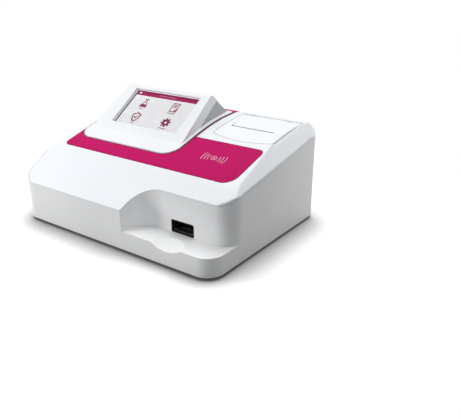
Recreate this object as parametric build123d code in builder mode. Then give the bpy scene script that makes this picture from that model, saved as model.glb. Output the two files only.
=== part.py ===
from build123d import *
import os
from math import cos, pi, radians, sin, sqrt, tan

# Benchtop immunoassay analyzer: a white casing with a sloping front, a raised touch screen,
# a thermal printer under a lid, and a motor-driven tray that takes a test cassette.
# X runs along the front from left to right, the front faces -Y, and Z = 0 is the bench.
# All sizes are in millimetres and all angles in degrees.

# Casing
body_width = 290.0
body_depth = 210.0
foot_height = 4.0
wall = 2.5
front_corner_radius = 20.0
rear_corner_radius = 9.0
front_edge_height = 46.4
front_slope = 32.0
crease_setback = 55.0
crease_blend = 45.0
deck_slope = 16.2
rear_bow_length = 83.0
shoulder_height = 64.7
shoulder_rise = 10.2
shoulder_tilt = 40.0
seam_drop = 1.2
overrun = 5.0

# Front recess, its ledge and the cassette slot
recess_length = 122.0
recess_depth = 32.0
ledge_height = 21.6
scoop_from_right = 60.0
scoop_half_width = 20.0
scoop_depth = 5.8
slot_from_right = 62.7
slot_width = 31.0
slot_height = 15.0
slot_corner = 2.0
liner_thickness = 1.0
liner_reach = 1.2

# Colour overlay on the deck
overlay_margin = 17.5
overlay_front = 56.0
overlay_from_rear = 1.0
overlay_to_lid = 8.5
overlay_strip = 2.5
overlay_thickness = 0.8
overlay_gap = 0.4
overlay_left_radius = 8.0
overlay_right_radius = 14.0
overlay_back_radius = 8.0

# Display pod
pod_left = 20.0
pod_to_lid = 16.0
pod_from_rear = 10.0
pod_length = 122.0
pod_corner_radius = 18.0
flange_rise = 1.2
flange_margin = 3.5
face_setback = 23.0
face_slope = 34.0
face_length = 80.8
face_blend = 55.0
pod_back_slope = 42.5
pod_top_radius = 5.0
pod_side_draft = 8.0
bezel_band = 12.0
window_lip = 1.0
window_rear_lip = 14.0
window_side_lip = 8.0
rear_shell_inset = 0.6
rear_shell_wall = 2.2
side_height = 3.0
glass_corner = 1.0
display_plate_thickness = 1.0
display_boss_diameter = 5.6
display_boss_gap = 0.9
display_boss_inset = 9.5
display_screw_diameter = 2.0
display_screw_length = 4.0
display_screw_head_height = 1.2
display_post_diameter = 5.0
display_post_inset = 12.0
screen_side_band = 23.5
screen_height = 60.0
screen_shift = 2.5
screen_margin = 12.7
screen_corner = 1.0
glass_overlap = 3.5
glass_thickness = 1.1
lcd_thickness = 3.2
lcd_margin = 1.0
display_board_gap = 4.0
display_board_inset = 14.0
display_chip_size = 18.0
memory_chip_length = 14.0
memory_chip_width = 8.0
chip_height = 1.5
board_thickness = 1.6

# Printer
lid_from_right = 17.5
lid_width = 82.5
lid_length = 63.5
lid_bow = 7.0
lid_corner_radius = 3.0
lid_thickness = 2.2
lid_gap = 0.7
hinge_from_rear = 9.5
hinge_radius = 2.5
hinge_pin_diameter = 2.0
pin_inset = 1.0
hinge_ear_width = 4.0
hinge_ear_spacing = 52.0
paper_slot_inset = 9.8
paper_slot_width = 58.7
paper_slot_to_hinge = 40.5
paper_slot_opening = 2.2
paper_width = 57.0
paper_roll_diameter = 40.0
roll_core_diameter = 16.0
roll_spindle_diameter = 12.0
roll_to_hinge = 25.0
roll_drop = 34.0
frame_wall = 2.0
frame_length = 61.0
frame_to_hinge = 1.5
frame_floor_gap = 1.0
frame_rim = 2.5
rim_thickness = 2.0
rim_gap = 0.1
arm_gap = 0.6
platen_bush_diameter = 5.0
arm_rim = 1.7
notch_width = 7.0
notch_height = 20.0
head_shift = 2.0
head_bar_thickness = 5.0
head_bar_length = 8.0
knuckle_gap = 0.4
ear_gap = 0.2
motor_shaft_hole = 5.0
slot_hook_length = 7.0
slot_hook_width = 1.2
pinion_shaft_diameter = 2.0
pinion_shaft_reach = 6.0
shaft_end_room = 1.0
gear_room = 1.0
platen_diameter = 8.0
platen_shaft_diameter = 3.0
platen_setback = 4.5
platen_drop = 8.7
arm_thickness = 2.6
gear_module = 0.8
tooth_foot_depth = 1.15
tooth_tip_height = 0.95
tooth_foot_half = 0.62
tooth_crest_half = 0.26
tooth_sink = 0.3
gear_width = 3.0
platen_teeth = 14
transfer_teeth = 24
pinion_teeth = 10
transfer_angle = 60.0
pinion_angle = 50.0
gear_pin_diameter = 3.0
printer_motor_diameter = 12.0
printer_motor_length = 16.0
head_angle = 45.0
head_width = 58.0
head_length = 10.0
head_thickness = 3.0

# Cassette carriage
tray_length = 84.0
tray_height = 5.5
tray_side_gap = 0.8
tray_setback = 1.5
cassette_width = 25.6
cassette_length = 71.0
cassette_pocket = 3.6
carriage_travel = 45.0
carriage_width = 54.0
carriage_length = 32.0
carriage_height = 12.8
rod_diameter = 5.0
rod_spacing = 40.0
bush_diameter = 8.0
bracket_thickness = 3.5
bracket_gap = 1.0
bracket_rim = 1.8
block_corner_radius = 2.0
tray_corner_radius = 0.8
thumb_radius = 9.0
thumb_depth = 1.0
rear_bracket_gap = 24.0
rod_drop = 6.4
bush_length = 10.0
chassis_thickness = 1.5
chassis_lift = 2.5
chassis_margin = 15.0
chassis_wall_gap = 0.5
chassis_screw_inset = 6.0
chassis_screw_setback = 4.0
motor_screw_shift = 10.0
chassis_rear_lip = 2.0
pulley_teeth = 20
belt_pitch = 2.0
belt_width = 6.0
belt_thickness = 1.3
belt_pitch_drop = 0.25
pulley_groove_radius = 0.55
shaft_back = 6.0
idler_bracket_length = 9.0
idler_bracket_extra = 1.0
motor_corner_radius = 3.0
belt_to_carriage = 6.0
flange_thickness = 1.0
flange_height = 1.2
motor_size = 28.2
motor_lift = 0.4
motor_length = 31.0
motor_shaft_diameter = 5.0
motor_bracket_thickness = 2.0
bracket_to_pulley = 1.2
drive_pulley_back = 155.0
idler_front = 47.0
idler_pin_diameter = 4.0
clip_length = 10.0
clip_thickness = 1.5

# Optics
bridge_thickness = 2.5
bridge_length = 40.0
bridge_clearance = 13.2
bridge_lip = 1.0
bridge_side_gap = 2.0
optics_back = 85.0
head_block_width = 36.0
head_block_length = 32.0
head_block_height = 26.0
barrel_diameter = 14.0
barrel_length = 12.0
lens_diameter = 11.0
lens_thickness = 3.0
lens_seat = 1.0
lens_sag = 1.0
mirror_size = 11.0
mirror_thickness = 1.0
mirror_room = 15.0
head_block_corner = 1.0
detector_width = 30.0
detector_length = 26.0
detector_gap = 0.5
detector_depth = 3.0
led_diameter = 6.0
led_length = 12.0

# Electronics and rear panel
board_left = 23.0
board_to_motor = 16.8
board_rear_gap = 4.0
board_length = 109.0
processor_size = 22.0
driver_chip_length = 16.0
driver_chip_width = 12.0
capacitor_diameter = 10.0
capacitor_height = 12.0
memory_chip_gap = 3.0
ribbon_width = 20.0
ribbon_thickness = 0.8
ribbon_turn = 9.0
ribbon_drop = 14.0
ribbon_shift = 2.0
ribbon_setback = 8.0
ribbon_bend = 10.0
ribbon_rise = 16.0
ribbon_up_face = 26.0
socket_height = 5.0
socket_length = 24.0
socket_width = 6.0
standoff_height = 8.0
standoff_diameter = 6.0
standoff_inset = 5.0
panel_left = 17.0
panel_width = 126.0
panel_bottom = 6.0
panel_height = 32.0
panel_thickness = 1.5
panel_rim = 5.0
panel_screw_reach = 1.5
panel_screw_gap = 0.2
panel_screw_head_diameter = 4.8
panel_screw_head_height = 1.6
connector_recess = 0.6
jack_shift = 50.0
rocker_shift = 30.0
usb_shift = 8.0
lan_shift = 30.0
jack_width = 9.0
jack_height = 11.0
jack_depth = 14.0
jack_bore = 6.0
jack_pin_diameter = 2.0
usb_width = 14.5
usb_height = 7.0
usb_depth = 16.0
usb_shell = 0.6
usb_tongue_width = 11.3
usb_tongue_height = 1.8
usb_tongue_rise = 1.2
lan_width = 16.0
lan_height = 13.5
lan_depth = 17.0
lan_mouth_width = 11.8
lan_mouth_height = 6.8
lan_mouth_drop = 0.8
lan_latch_width = 6.0
lan_latch_height = 3.0
lan_latch_rise = 3.6
port_depth = 9.0
rocker_width = 19.0
rocker_height = 12.8
rocker_tilt = 7.0
rocker_flange = 1.2
rocker_flange_lip = 1.0
rocker_well_side = 0.8
rocker_well_edge = 1.2
rocker_well_depth = 9.0
rocker_body_depth = 14.0
rocker_pivot_diameter = 2.5
rocker_pivot_depth = 3.8
rocker_end_gap = 0.9
rocker_below_pivot = 2.7
rocker_above_pivot = 5.0
rocker_dip = 0.8
reader_width = 46.0
reader_length = 34.0
reader_drop = 4.0
reader_from_right = 64.5
reader_to_lobe_end = 30.5
reader_post_inset = 6.0
reader_post_diameter = 4.4
vent_count = 12
vent_spacing = 6.5
vent_width = 2.6
vent_height = 30.0
vent_rise = 46.0

# Fasteners and feet
foot_diameter = 18.0
foot_stub_diameter = 5.0
foot_stub_height = 2.0
foot_edge_radius = 1.0
foot_inset_side = 37.0
foot_inset_end = 25.0
boss_diameter = 8.0
boss_height = 13.5
front_post_inset = 17.0
side_post_inset = 15.0
side_post_setback = 35.0
rear_post_inset = 9.0
screw_diameter = 3.0
screw_head_diameter = 5.5
screw_head_height = 2.0
pilot_diameter = 3.1
pilot_depth = 1.0
screw_tip = 0.5
case_screw_grip = 8.0
screw_cross_length = 3.0
screw_cross_width = 0.6
screw_cross_depth = 1.0

# Clearances between pieces that fit
running_clearance = 0.05
seat_gap = 0.3
fit_clearance = 0.3

# Places worked out from the sizes above
front_y = -body_depth / 2
rear_y = body_depth / 2
right_x = body_width / 2
left_x = -body_width / 2
floor_z = foot_height + wall
ledge_z = foot_height + ledge_height
front_edge_z = foot_height + front_edge_height
crease_y = front_y + crease_setback
crease_z = front_edge_z + crease_setback * tan(radians(front_slope))
bend_y = rear_y - rear_bow_length
bend_z = crease_z + (bend_y - crease_y) * tan(radians(deck_slope))
deck_radius = (rear_y - bend_y) / sin(radians(deck_slope))
top_z = bend_z + deck_radius * (1 - cos(radians(deck_slope)))
slot_x = right_x - slot_from_right
slot_y = front_y + recess_depth
recess_left = body_width - recess_length
lid_left = body_width - lid_from_right - lid_width
hinge_setback = body_depth - hinge_from_rear
lid_side_front = hinge_setback - lid_length
lid_front = lid_side_front - lid_bow
pod_width = lid_left - pod_to_lid - pod_left
pod_back = body_depth - pod_from_rear
pod_front = pod_back - pod_length
face_start = pod_front + face_setback
screen_width = pod_width - 2 * screen_side_band
overlay_back = body_depth - overlay_from_rear
overlay_lobe_back = lid_front - overlay_to_lid
os.makedirs("parts", exist_ok=True)


def finish(shape, name):
    """Names a piece and writes it to its own file."""
    shape.label = name
    export_step(shape, "parts/" + name + ".step")


def deck_z(y):
    """Height of the deck's surface at a distance y along the body, without the blend at the crease."""
    if y < crease_y:
        return front_edge_z + (y - front_y) * tan(radians(front_slope))
    if y < bend_y:
        return crease_z + (y - crease_y) * tan(radians(deck_slope))
    return top_z - deck_radius + sqrt(deck_radius**2 - (rear_y - y) ** 2)


def deck_profile(rise, floor):
    """Side view of all that lies under the deck's surface moved up by rise, down to floor."""
    front_way = (cos(radians(front_slope)), sin(radians(front_slope)))
    deck_way = (cos(radians(deck_slope)), sin(radians(deck_slope)))
    reach = crease_blend * tan(radians((front_slope - deck_slope) / 2))
    nose = (front_y - overrun, deck_z(front_y - overrun) + rise)
    before = (crease_y - reach * front_way[0], crease_z - reach * front_way[1] + rise)
    after = (crease_y + reach * deck_way[0], crease_z + reach * deck_way[1] + rise)
    bend = (bend_y, bend_z + rise)
    rear = (rear_y, top_z + rise)
    tail = (rear_y + overrun, top_z + rise)
    with BuildSketch(Plane.YZ) as profile:
        with BuildLine():
            Line(nose, before)
            TangentArc(before, after, tangent=front_way)
            Line(after, bend)
            TangentArc(bend, rear, tangent=deck_way)
            Polyline(rear, tail, (tail[0], floor), (nose[0], floor), nose)
        make_face()
    return profile.sketch


def plan_outline(inset):
    """The casing seen from above, drawn in by inset."""
    with BuildSketch() as plan:
        Rectangle(body_width - 2 * inset, body_depth - 2 * inset)
        fillet(plan.vertices().group_by(Axis.Y)[0], front_corner_radius - inset)
        fillet(plan.vertices().group_by(Axis.Y)[-1], rear_corner_radius - inset)
    return plan.sketch


def recess_outline(inset):
    """The front recess seen from above, grown by inset: a quarter circle, a straight wall, a round end."""
    start_x = left_x + recess_left
    turn_x = right_x - front_corner_radius
    end = (right_x - inset, slot_y + front_corner_radius)
    turn = (turn_x, slot_y + inset)
    straight = (start_x + recess_depth, slot_y + inset)
    mouth = (start_x - inset, front_y)
    beyond_y = front_y - overrun
    beyond_x = right_x + overrun
    with BuildSketch() as recess:
        with BuildLine():
            RadiusArc(end, turn, front_corner_radius - inset)
            Line(turn, straight)
            RadiusArc(straight, mouth, -(recess_depth + inset))
            Polyline(mouth, (mouth[0], beyond_y), (beyond_x, beyond_y), (beyond_x, end[1]), end)
        make_face()
    return recess.sketch


def finger_scoop(inset):
    """A shallow round dish in the ledge's front edge, grown by inset."""
    radius = (scoop_half_width**2 + scoop_depth**2) / (2 * scoop_depth)
    with BuildPart() as scoop:
        with Locations((right_x - scoop_from_right, front_y, ledge_z - scoop_depth + radius)):
            Sphere(radius + inset)
        split(bisect_by=Plane.XY.offset(ledge_z + inset / 2), keep=Keep.BOTTOM)
    return scoop.part


def shoulder_plane(side, inset):
    """The sloping plane that trims a long edge of the casing's top, moved down by inset."""
    normal = (side * tan(radians(shoulder_tilt)), -tan(radians(shoulder_rise)), 1)
    corner = (side * right_x, front_y, foot_height + shoulder_height - inset)
    return Plane(origin=corner, z_dir=normal)


def body_envelope(inset):
    """The casing as one solid, drawn in by inset on every side."""
    with BuildPart() as envelope:
        extrude(deck_profile(-inset, foot_height + inset), amount=body_width, both=True)
        extrude(plan_outline(inset), amount=2 * top_z, mode=Mode.INTERSECT)
        for side in (-1, 1):
            split(bisect_by=shoulder_plane(side, inset), keep=Keep.BOTTOM)
        extrude(Pos(0, 0, ledge_z - inset) * recess_outline(inset), amount=top_z, mode=Mode.SUBTRACT)
        add(finger_scoop(inset), mode=Mode.SUBTRACT)
    return envelope.part


def seam_profile(drop):
    """Side view of all that lies below the seam between the cover and the lower case."""
    rise = tan(radians(shoulder_rise))
    meet = (shoulder_height - front_edge_height) / (tan(radians(front_slope)) - rise)
    nose_z = deck_z(front_y - overrun) - drop
    meet_z = foot_height + shoulder_height + meet * rise - drop
    tail_z = foot_height + shoulder_height + (body_depth + overrun) * rise - drop
    with BuildSketch(Plane.YZ) as seam:
        with BuildLine():
            Polyline((front_y - overrun, 0), (front_y - overrun, nose_z), (front_y + meet, meet_z),
                     (rear_y + overrun, tail_z), (rear_y + overrun, 0), close=True)
        make_face()
    return seam.sketch


def lower_shell():
    """The casing's walls under the seam, with the floor and the ledge."""
    with BuildPart() as shell:
        add(outer_body)
        add(inner_body, mode=Mode.SUBTRACT)
        extrude(seam_profile(seam_drop), amount=body_width, both=True, mode=Mode.INTERSECT)
        inside = plan_outline(wall) - recess_outline(wall)
        extrude(Pos(0, 0, floor_z) * inside, amount=top_z, mode=Mode.SUBTRACT)
    return shell.part


def deck_layer(outline, low, high):
    """A sheet that follows the deck from low to high over it, cut to an outline seen from above."""
    with BuildPart() as layer:
        extrude(deck_profile(high, 0), amount=body_width, both=True)
        extrude(deck_profile(low, -overrun), amount=body_width, both=True, mode=Mode.SUBTRACT)
        extrude(outline, amount=2 * top_z, mode=Mode.INTERSECT)
    return layer.part


def pod_outline(grow):
    """The display pod's flange seen from above."""
    with BuildSketch() as outline:
        with Locations((left_x + pod_left + pod_width / 2, front_y + (pod_front + pod_back) / 2)):
            Rectangle(pod_width, pod_back - pod_front)
        fillet(outline.vertices().group_by(Axis.Y)[0], pod_corner_radius)
        fillet(outline.vertices().group_by(Axis.Y)[-1], flange_margin)
        offset(amount=grow)
    return outline.sketch


def overlay_outline(grow):
    """The colour overlay seen from above, with the space that the pod's flange takes."""
    back_y = front_y + overlay_back
    lobe_y = front_y + overlay_lobe_back
    start_y = front_y + overlay_front
    left = left_x + overlay_margin
    strip_x = left_x + pod_left + pod_width + overlay_strip
    with BuildSketch() as outline:
        with Locations((0, (start_y + lobe_y) / 2)):
            Rectangle(body_width - 2 * overlay_margin, lobe_y - start_y)
        for end, radius in ((0, overlay_left_radius), (-1, overlay_right_radius)):
            fillet(outline.vertices().group_by(Axis.Y)[0].sort_by(Axis.X)[end], radius)
        fillet(outline.vertices().group_by(Axis.Y)[-1].sort_by(Axis.X)[-1], overlay_back_radius)
        with Locations(((left + strip_x) / 2, (lobe_y + back_y) / 2)):
            Rectangle(strip_x - left, back_y - lobe_y)
        offset(amount=grow)
        add(pod_outline(overlay_gap - grow), mode=Mode.SUBTRACT)
    return outline.sketch


# Lid, hinge and paper path places
lid_x = left_x + lid_left + lid_width / 2
hinge_y = front_y + hinge_setback
hinge_z = deck_z(hinge_y) - hinge_radius
paper_x = left_x + lid_left + paper_slot_inset + paper_slot_width / 2
paper_y = hinge_y - paper_slot_to_hinge
platen_y = paper_y + platen_setback
platen_z = deck_z(paper_y) - platen_drop
roll_y = hinge_y - roll_to_hinge
roll_z = deck_z(roll_y) - roll_drop


def lid_outline(grow, rear):
    """The printer lid seen from above: straight sides, a bowed front edge, a straight edge at rear."""
    left = lid_x - lid_width / 2
    right = lid_x + lid_width / 2
    side_y = front_y + lid_side_front
    with BuildSketch() as outline:
        with BuildLine():
            ThreePointArc((left, side_y), (lid_x, front_y + lid_front), (right, side_y))
            Polyline((right, side_y), (right, rear), (left, rear), (left, side_y))
        make_face()
        fillet(outline.vertices().group_by(Axis.Y)[0], lid_corner_radius)
        offset(amount=grow)
    return outline.sketch


# Casing pieces
outer_body = body_envelope(0)
inner_body = body_envelope(wall)
lower_walls = lower_shell()
screw_places = [
    (left_x + front_post_inset, front_y + front_post_inset),
    (right_x - side_post_inset, slot_y + side_post_setback),
    (left_x + rear_post_inset, rear_y - side_post_inset),
    (right_x - rear_post_inset, rear_y - side_post_inset),
]
foot_places = [
    (side * (right_x - foot_inset_side), end * (rear_y - foot_inset_end))
    for side in (-1, 1)
    for end in (-1, 1)
]
boss_top = floor_z + boss_height
reader_x = right_x - reader_from_right
reader_y = front_y + overlay_lobe_back - reader_to_lobe_end
pod_x = left_x + pod_left + pod_width / 2
face_y = front_y + face_start
face_z = deck_z(face_y) + flange_rise
window_front = face_y + window_lip
window_back = front_y + pod_back - window_rear_lip
window_width = pod_width - 2 * window_side_lip
reader_plane = Plane(origin=(reader_x, reader_y, deck_z(reader_y) - wall), x_dir=(1, 0, 0),
                     z_dir=(0, -sin(radians(deck_slope)), cos(radians(deck_slope))))
lid_opening = lid_outline(lid_gap, hinge_y + hinge_radius)

with BuildPart() as upper_cover:
    add(outer_body)
    add(inner_body, mode=Mode.SUBTRACT)
    add(lower_walls, mode=Mode.SUBTRACT)
    with BuildSketch(Plane.XY.offset(boss_top)):
        with Locations(*screw_places):
            Circle(boss_diameter / 2)
    posts = extrude(amount=top_z, mode=Mode.PRIVATE)
    add(posts & outer_body)
    with BuildSketch(Plane.XY.offset(boss_top)):
        with Locations(*screw_places):
            Circle(pilot_diameter / 2)
    extrude(amount=boss_height, mode=Mode.SUBTRACT)
    add(deck_layer(overlay_outline(overlay_gap), -overlay_thickness, overrun), mode=Mode.SUBTRACT)
    with BuildSketch():
        with Locations((pod_x, (window_front + window_back) / 2)):
            Rectangle(window_width, window_back - window_front)
    extrude(amount=2 * top_z, mode=Mode.SUBTRACT)
    extrude(lid_opening, amount=2 * top_z, mode=Mode.SUBTRACT)
    with BuildSketch(reader_plane.offset(-reader_drop)):
        with GridLocations(reader_width - reader_post_inset, reader_length - reader_post_inset, 2, 2):
            Circle(reader_post_diameter / 2)
    extrude(amount=reader_drop + wall / 2)
finish(upper_cover.part, "upper_cover")

# Cassette tray places, which the lower case and the chassis share
tray_width = slot_width - 2 * (liner_thickness + tray_side_gap)
tray_z = ledge_z + liner_thickness + tray_side_gap
tray_front = slot_y + tray_setback
tray_back = tray_front + tray_length
chassis_z = floor_z + chassis_lift
chassis_top = chassis_z + chassis_thickness
drive_y = front_y + drive_pulley_back
idler_y = front_y + idler_front
chassis_front = slot_y + wall + chassis_wall_gap
chassis_back = drive_y + motor_size / 2 + chassis_rear_lip
chassis_width = carriage_width + 2 * chassis_margin
belt_x = slot_x - carriage_width / 2 - belt_to_carriage
pulley_half = belt_width / 2 + seat_gap
bracket_x = belt_x - pulley_half - flange_thickness - motor_bracket_thickness - bracket_to_pulley
board_width = bracket_x - motor_length - board_to_motor - left_x - board_left
board_x = left_x + board_left + board_width / 2
board_y = rear_y - wall - panel_thickness - board_rear_gap - board_length / 2
board_z = floor_z + standoff_height
board_top = board_z + board_thickness
standoff_spacing = (board_width - 2 * standoff_inset, board_length - 2 * standoff_inset)
chassis_screw_side = chassis_width / 2 - chassis_screw_inset
chassis_screw_front = chassis_front + chassis_screw_setback
chassis_screw_back = chassis_back - chassis_screw_inset
chassis_screw_places = [
    (slot_x - chassis_screw_side, chassis_screw_front),
    (slot_x + chassis_screw_side, chassis_screw_front),
    (slot_x - chassis_screw_side + motor_screw_shift, chassis_screw_back),
    (slot_x + chassis_screw_side, chassis_screw_back),
]
slot_plane = Plane(origin=(slot_x, slot_y, ledge_z + slot_height / 2), x_dir=(1, 0, 0), z_dir=(0, -1, 0))
panel_x = left_x + panel_left + panel_width / 2
panel_z = foot_height + panel_bottom + panel_height / 2
panel_plane = Plane(origin=(panel_x, rear_y - wall, panel_z), x_dir=(-1, 0, 0), z_dir=(0, 1, 0))
vent_plane = Plane(origin=(slot_x, rear_y, foot_height + vent_rise), x_dir=(-1, 0, 0), z_dir=(0, 1, 0))
panel_screw_spacing_x = panel_width - panel_rim
panel_screw_spacing_z = panel_height - panel_rim

with BuildPart() as lower_case:
    add(lower_walls)
    with BuildSketch(Plane.XY.offset(foot_height)):
        with Locations(*screw_places):
            Circle(boss_diameter / 2)
    extrude(amount=boss_top - foot_height)
    with BuildSketch(Plane.XY.offset(foot_height)):
        with Locations(*chassis_screw_places):
            Circle(boss_diameter / 2)
    extrude(amount=chassis_z - foot_height)
    with BuildSketch(Plane.XY.offset(foot_height)):
        with Locations((board_x, board_y)):
            with GridLocations(*standoff_spacing, 2, 2):
                Circle(standoff_diameter / 2)
    extrude(amount=board_z - foot_height)
    with BuildSketch(Plane.XY.offset(foot_height)):
        with Locations(*screw_places):
            Circle(screw_diameter / 2 + fit_clearance)
    extrude(amount=boss_top, mode=Mode.SUBTRACT)
    with BuildSketch(Plane.XY.offset(foot_height)):
        with Locations(*screw_places):
            Circle(screw_head_diameter / 2 + fit_clearance)
    extrude(amount=screw_head_height, mode=Mode.SUBTRACT)
    with BuildSketch(Plane.XY.offset(foot_height)):
        with Locations(*foot_places):
            Circle(foot_stub_diameter / 2)
    extrude(amount=foot_stub_height, mode=Mode.SUBTRACT)
    with BuildSketch(Plane.XY.offset(chassis_z)):
        with Locations(*chassis_screw_places):
            Circle(pilot_diameter / 2)
    extrude(amount=-chassis_lift - pilot_depth, mode=Mode.SUBTRACT)
    with BuildSketch(slot_plane):
        RectangleRounded(slot_width, slot_height, slot_corner)
    extrude(amount=-2 * wall, mode=Mode.SUBTRACT)
    with BuildSketch(panel_plane):
        Rectangle(panel_width - 2 * panel_rim, panel_height - 2 * panel_rim)
    extrude(amount=2 * wall, mode=Mode.SUBTRACT)
    with BuildSketch(panel_plane):
        with GridLocations(panel_screw_spacing_x, panel_screw_spacing_z, 2, 2):
            Circle(screw_diameter / 2 + running_clearance)
    extrude(amount=panel_screw_reach, mode=Mode.SUBTRACT)
    with BuildSketch(vent_plane):
        with GridLocations(vent_spacing, 1, vent_count, 1):
            SlotOverall(vent_height, vent_width, rotation=90)
    extrude(amount=-2 * wall, mode=Mode.SUBTRACT)
finish(lower_case.part, "lower_case")

with BuildPart() as rubber_feet:
    with BuildSketch():
        with Locations(*foot_places):
            Circle(foot_diameter / 2)
    extrude(amount=foot_height)
    fillet(rubber_feet.edges().group_by(Axis.Z)[0], foot_edge_radius)
    with BuildSketch(Plane.XY.offset(foot_height)):
        with Locations(*foot_places):
            Circle(foot_stub_diameter / 2)
    extrude(amount=foot_stub_height)
finish(rubber_feet.part, "rubber_feet")

with BuildPart() as case_screws:
    with BuildSketch(Plane.XY.offset(foot_height)):
        with Locations(*screw_places):
            Circle(screw_head_diameter / 2)
    extrude(amount=screw_head_height)
    with BuildSketch(Plane.XY.offset(foot_height)):
        with Locations(*screw_places):
            Circle(screw_diameter / 2)
    extrude(amount=boss_top - foot_height + case_screw_grip)
    with BuildSketch(Plane.XY.offset(foot_height)):
        with Locations(*screw_places):
            Rectangle(screw_cross_length, screw_cross_width)
            Rectangle(screw_cross_width, screw_cross_length)
    extrude(amount=screw_cross_depth, mode=Mode.SUBTRACT)
finish(case_screws.part, "case_screws")

with BuildPart() as slot_liner:
    with BuildSketch(slot_plane):
        RectangleRounded(slot_width, slot_height, slot_corner)
    extrude(amount=-wall)
    with BuildSketch(slot_plane.offset(-wall)):
        RectangleRounded(slot_width + 2 * liner_thickness, slot_height + 2 * liner_thickness, slot_corner)
    extrude(amount=-liner_reach)
    with BuildSketch(slot_plane):
        RectangleRounded(slot_width, slot_height, slot_corner)
        offset(amount=-liner_thickness)
    extrude(amount=-wall - liner_reach, mode=Mode.SUBTRACT)
finish(slot_liner.part, "slot_liner")

finish(deck_layer(overlay_outline(0), -overlay_thickness, 0), "colour_overlay")

# Display pod: a bezel with the flange and the sloping face, and a shell behind it
face_plane = Plane(origin=(pod_x, face_y, face_z), x_dir=(1, 0, 0),
                   z_dir=(0, -sin(radians(face_slope)), cos(radians(face_slope))))
screen_middle = screen_margin + screen_height / 2
screen_plane = Plane(origin=face_plane.from_local_coords((screen_shift, screen_middle, 0)),
                     x_dir=(1, 0, 0), z_dir=face_plane.z_dir)


def pod_profile(inset):
    """Side view of the pod drawn in by inset: along the deck, up the face and down the back."""
    start = (front_y + pod_front, deck_z(front_y + pod_front) + flange_rise)
    slope = radians(face_slope)
    peak = (face_y + face_length * cos(slope), face_z + face_length * sin(slope))
    fall = peak[1] - top_z + 2 * wall
    back = (peak[0] + fall / tan(radians(pod_back_slope)), peak[1] - fall)
    with BuildSketch(Plane.YZ) as profile:
        with BuildLine():
            Polyline(start, (face_y, face_z), peak, back, (back[0], floor_z), (start[0], floor_z),
                     close=True)
        make_face()
        bend = profile.vertices().sort_by_distance((0, face_y, face_z))[0]
        fillet(bend, face_blend)
        fillet(profile.vertices().group_by(Axis.Z)[-1], pod_top_radius)
        if inset:
            offset(amount=-inset, kind=Kind.INTERSECTION)
    return profile.sketch


def pod_body(inset):
    """The pod as one solid that reaches down into the casing, drawn in by inset."""
    with BuildPart() as body:
        extrude(pod_profile(inset), amount=body_width, both=True)
        for side in (-1, 1):
            edge = (pod_x + side * (pod_width / 2 - flange_margin - inset), 0, face_z + side_height)
            draft = Plane(origin=edge, z_dir=(side, 0, tan(radians(pod_side_draft))))
            split(bisect_by=draft, keep=Keep.BOTTOM)
    return body.part


pod_outer = pod_body(0)
pod_inner = pod_body(wall)
band_plane = face_plane.offset(-bezel_band)
glass_width = screen_width + 2 * glass_overlap
glass_height = screen_height + 2 * glass_overlap
lcd_depth = wall + glass_thickness + lcd_thickness
display_boss_spacing_x = glass_width + 2 * (screen_shift + display_boss_gap) + display_boss_diameter
display_boss_spacing_y = glass_height - 2 * display_boss_inset
display_frame_width = display_boss_spacing_x + display_boss_diameter
display_frame_height = display_boss_spacing_y + display_boss_diameter
display_mount_plane = Plane(origin=face_plane.from_local_coords((0, screen_middle, 0)),
                            x_dir=(1, 0, 0), z_dir=face_plane.z_dir)

with BuildPart() as display_bezel:
    add(pod_outer)
    split(bisect_by=band_plane, keep=Keep.TOP)
    extrude(pod_outline(0), amount=2 * top_z, mode=Mode.INTERSECT)
    extrude(deck_profile(0, 0), amount=body_width, both=True, mode=Mode.SUBTRACT)
    add(deck_layer(pod_outline(0), 0, flange_rise))
    add(pod_inner, mode=Mode.SUBTRACT)
    with BuildSketch(screen_plane):
        RectangleRounded(screen_width, screen_height, screen_corner)
    extrude(amount=-bezel_band, mode=Mode.SUBTRACT)
    with BuildSketch(display_mount_plane.offset(-wall)):
        with GridLocations(display_boss_spacing_x, display_boss_spacing_y, 2, 2):
            Circle(display_boss_diameter / 2)
            Circle(display_screw_diameter / 2 + running_clearance, mode=Mode.SUBTRACT)
    extrude(amount=-(lcd_depth - wall))
finish(display_bezel.part, "display_bezel")

with BuildPart() as display_rear_shell:
    add(pod_body(rear_shell_inset))
    split(bisect_by=band_plane, keep=Keep.BOTTOM)
    extrude(deck_profile(flange_rise, 0), amount=body_width, both=True, mode=Mode.SUBTRACT)
    add(pod_body(rear_shell_inset + rear_shell_wall), mode=Mode.SUBTRACT)
finish(display_rear_shell.part, "display_rear_shell")

with BuildPart() as touch_glass:
    with BuildSketch(screen_plane.offset(-wall)):
        RectangleRounded(glass_width, glass_height, glass_corner)
    extrude(amount=-glass_thickness)
finish(touch_glass.part, "touch_glass")

with BuildPart() as lcd_panel:
    with BuildSketch(screen_plane.offset(-wall - glass_thickness)):
        Rectangle(glass_width - 2 * lcd_margin, glass_height - 2 * lcd_margin)
    extrude(amount=-lcd_thickness)
finish(lcd_panel.part, "lcd_panel")

display_board_width = glass_width - display_board_inset
display_board_height = glass_height - display_board_inset
display_board_depth = lcd_depth + display_plate_thickness + display_board_gap
display_post_spacing = (display_board_width - display_post_inset, display_board_height - display_post_inset)
with BuildPart() as display_frame:
    with BuildSketch(display_mount_plane.offset(-lcd_depth)):
        Rectangle(display_frame_width, display_frame_height)
        with GridLocations(display_boss_spacing_x, display_boss_spacing_y, 2, 2):
            Circle(display_screw_diameter / 2 + running_clearance, mode=Mode.SUBTRACT)
    extrude(amount=-display_plate_thickness)
    with BuildSketch(display_mount_plane.offset(-lcd_depth - display_plate_thickness)):
        with GridLocations(*display_post_spacing, 2, 2):
            Circle(display_post_diameter / 2)
    extrude(amount=-display_board_gap)
finish(display_frame.part, "display_frame")

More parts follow.
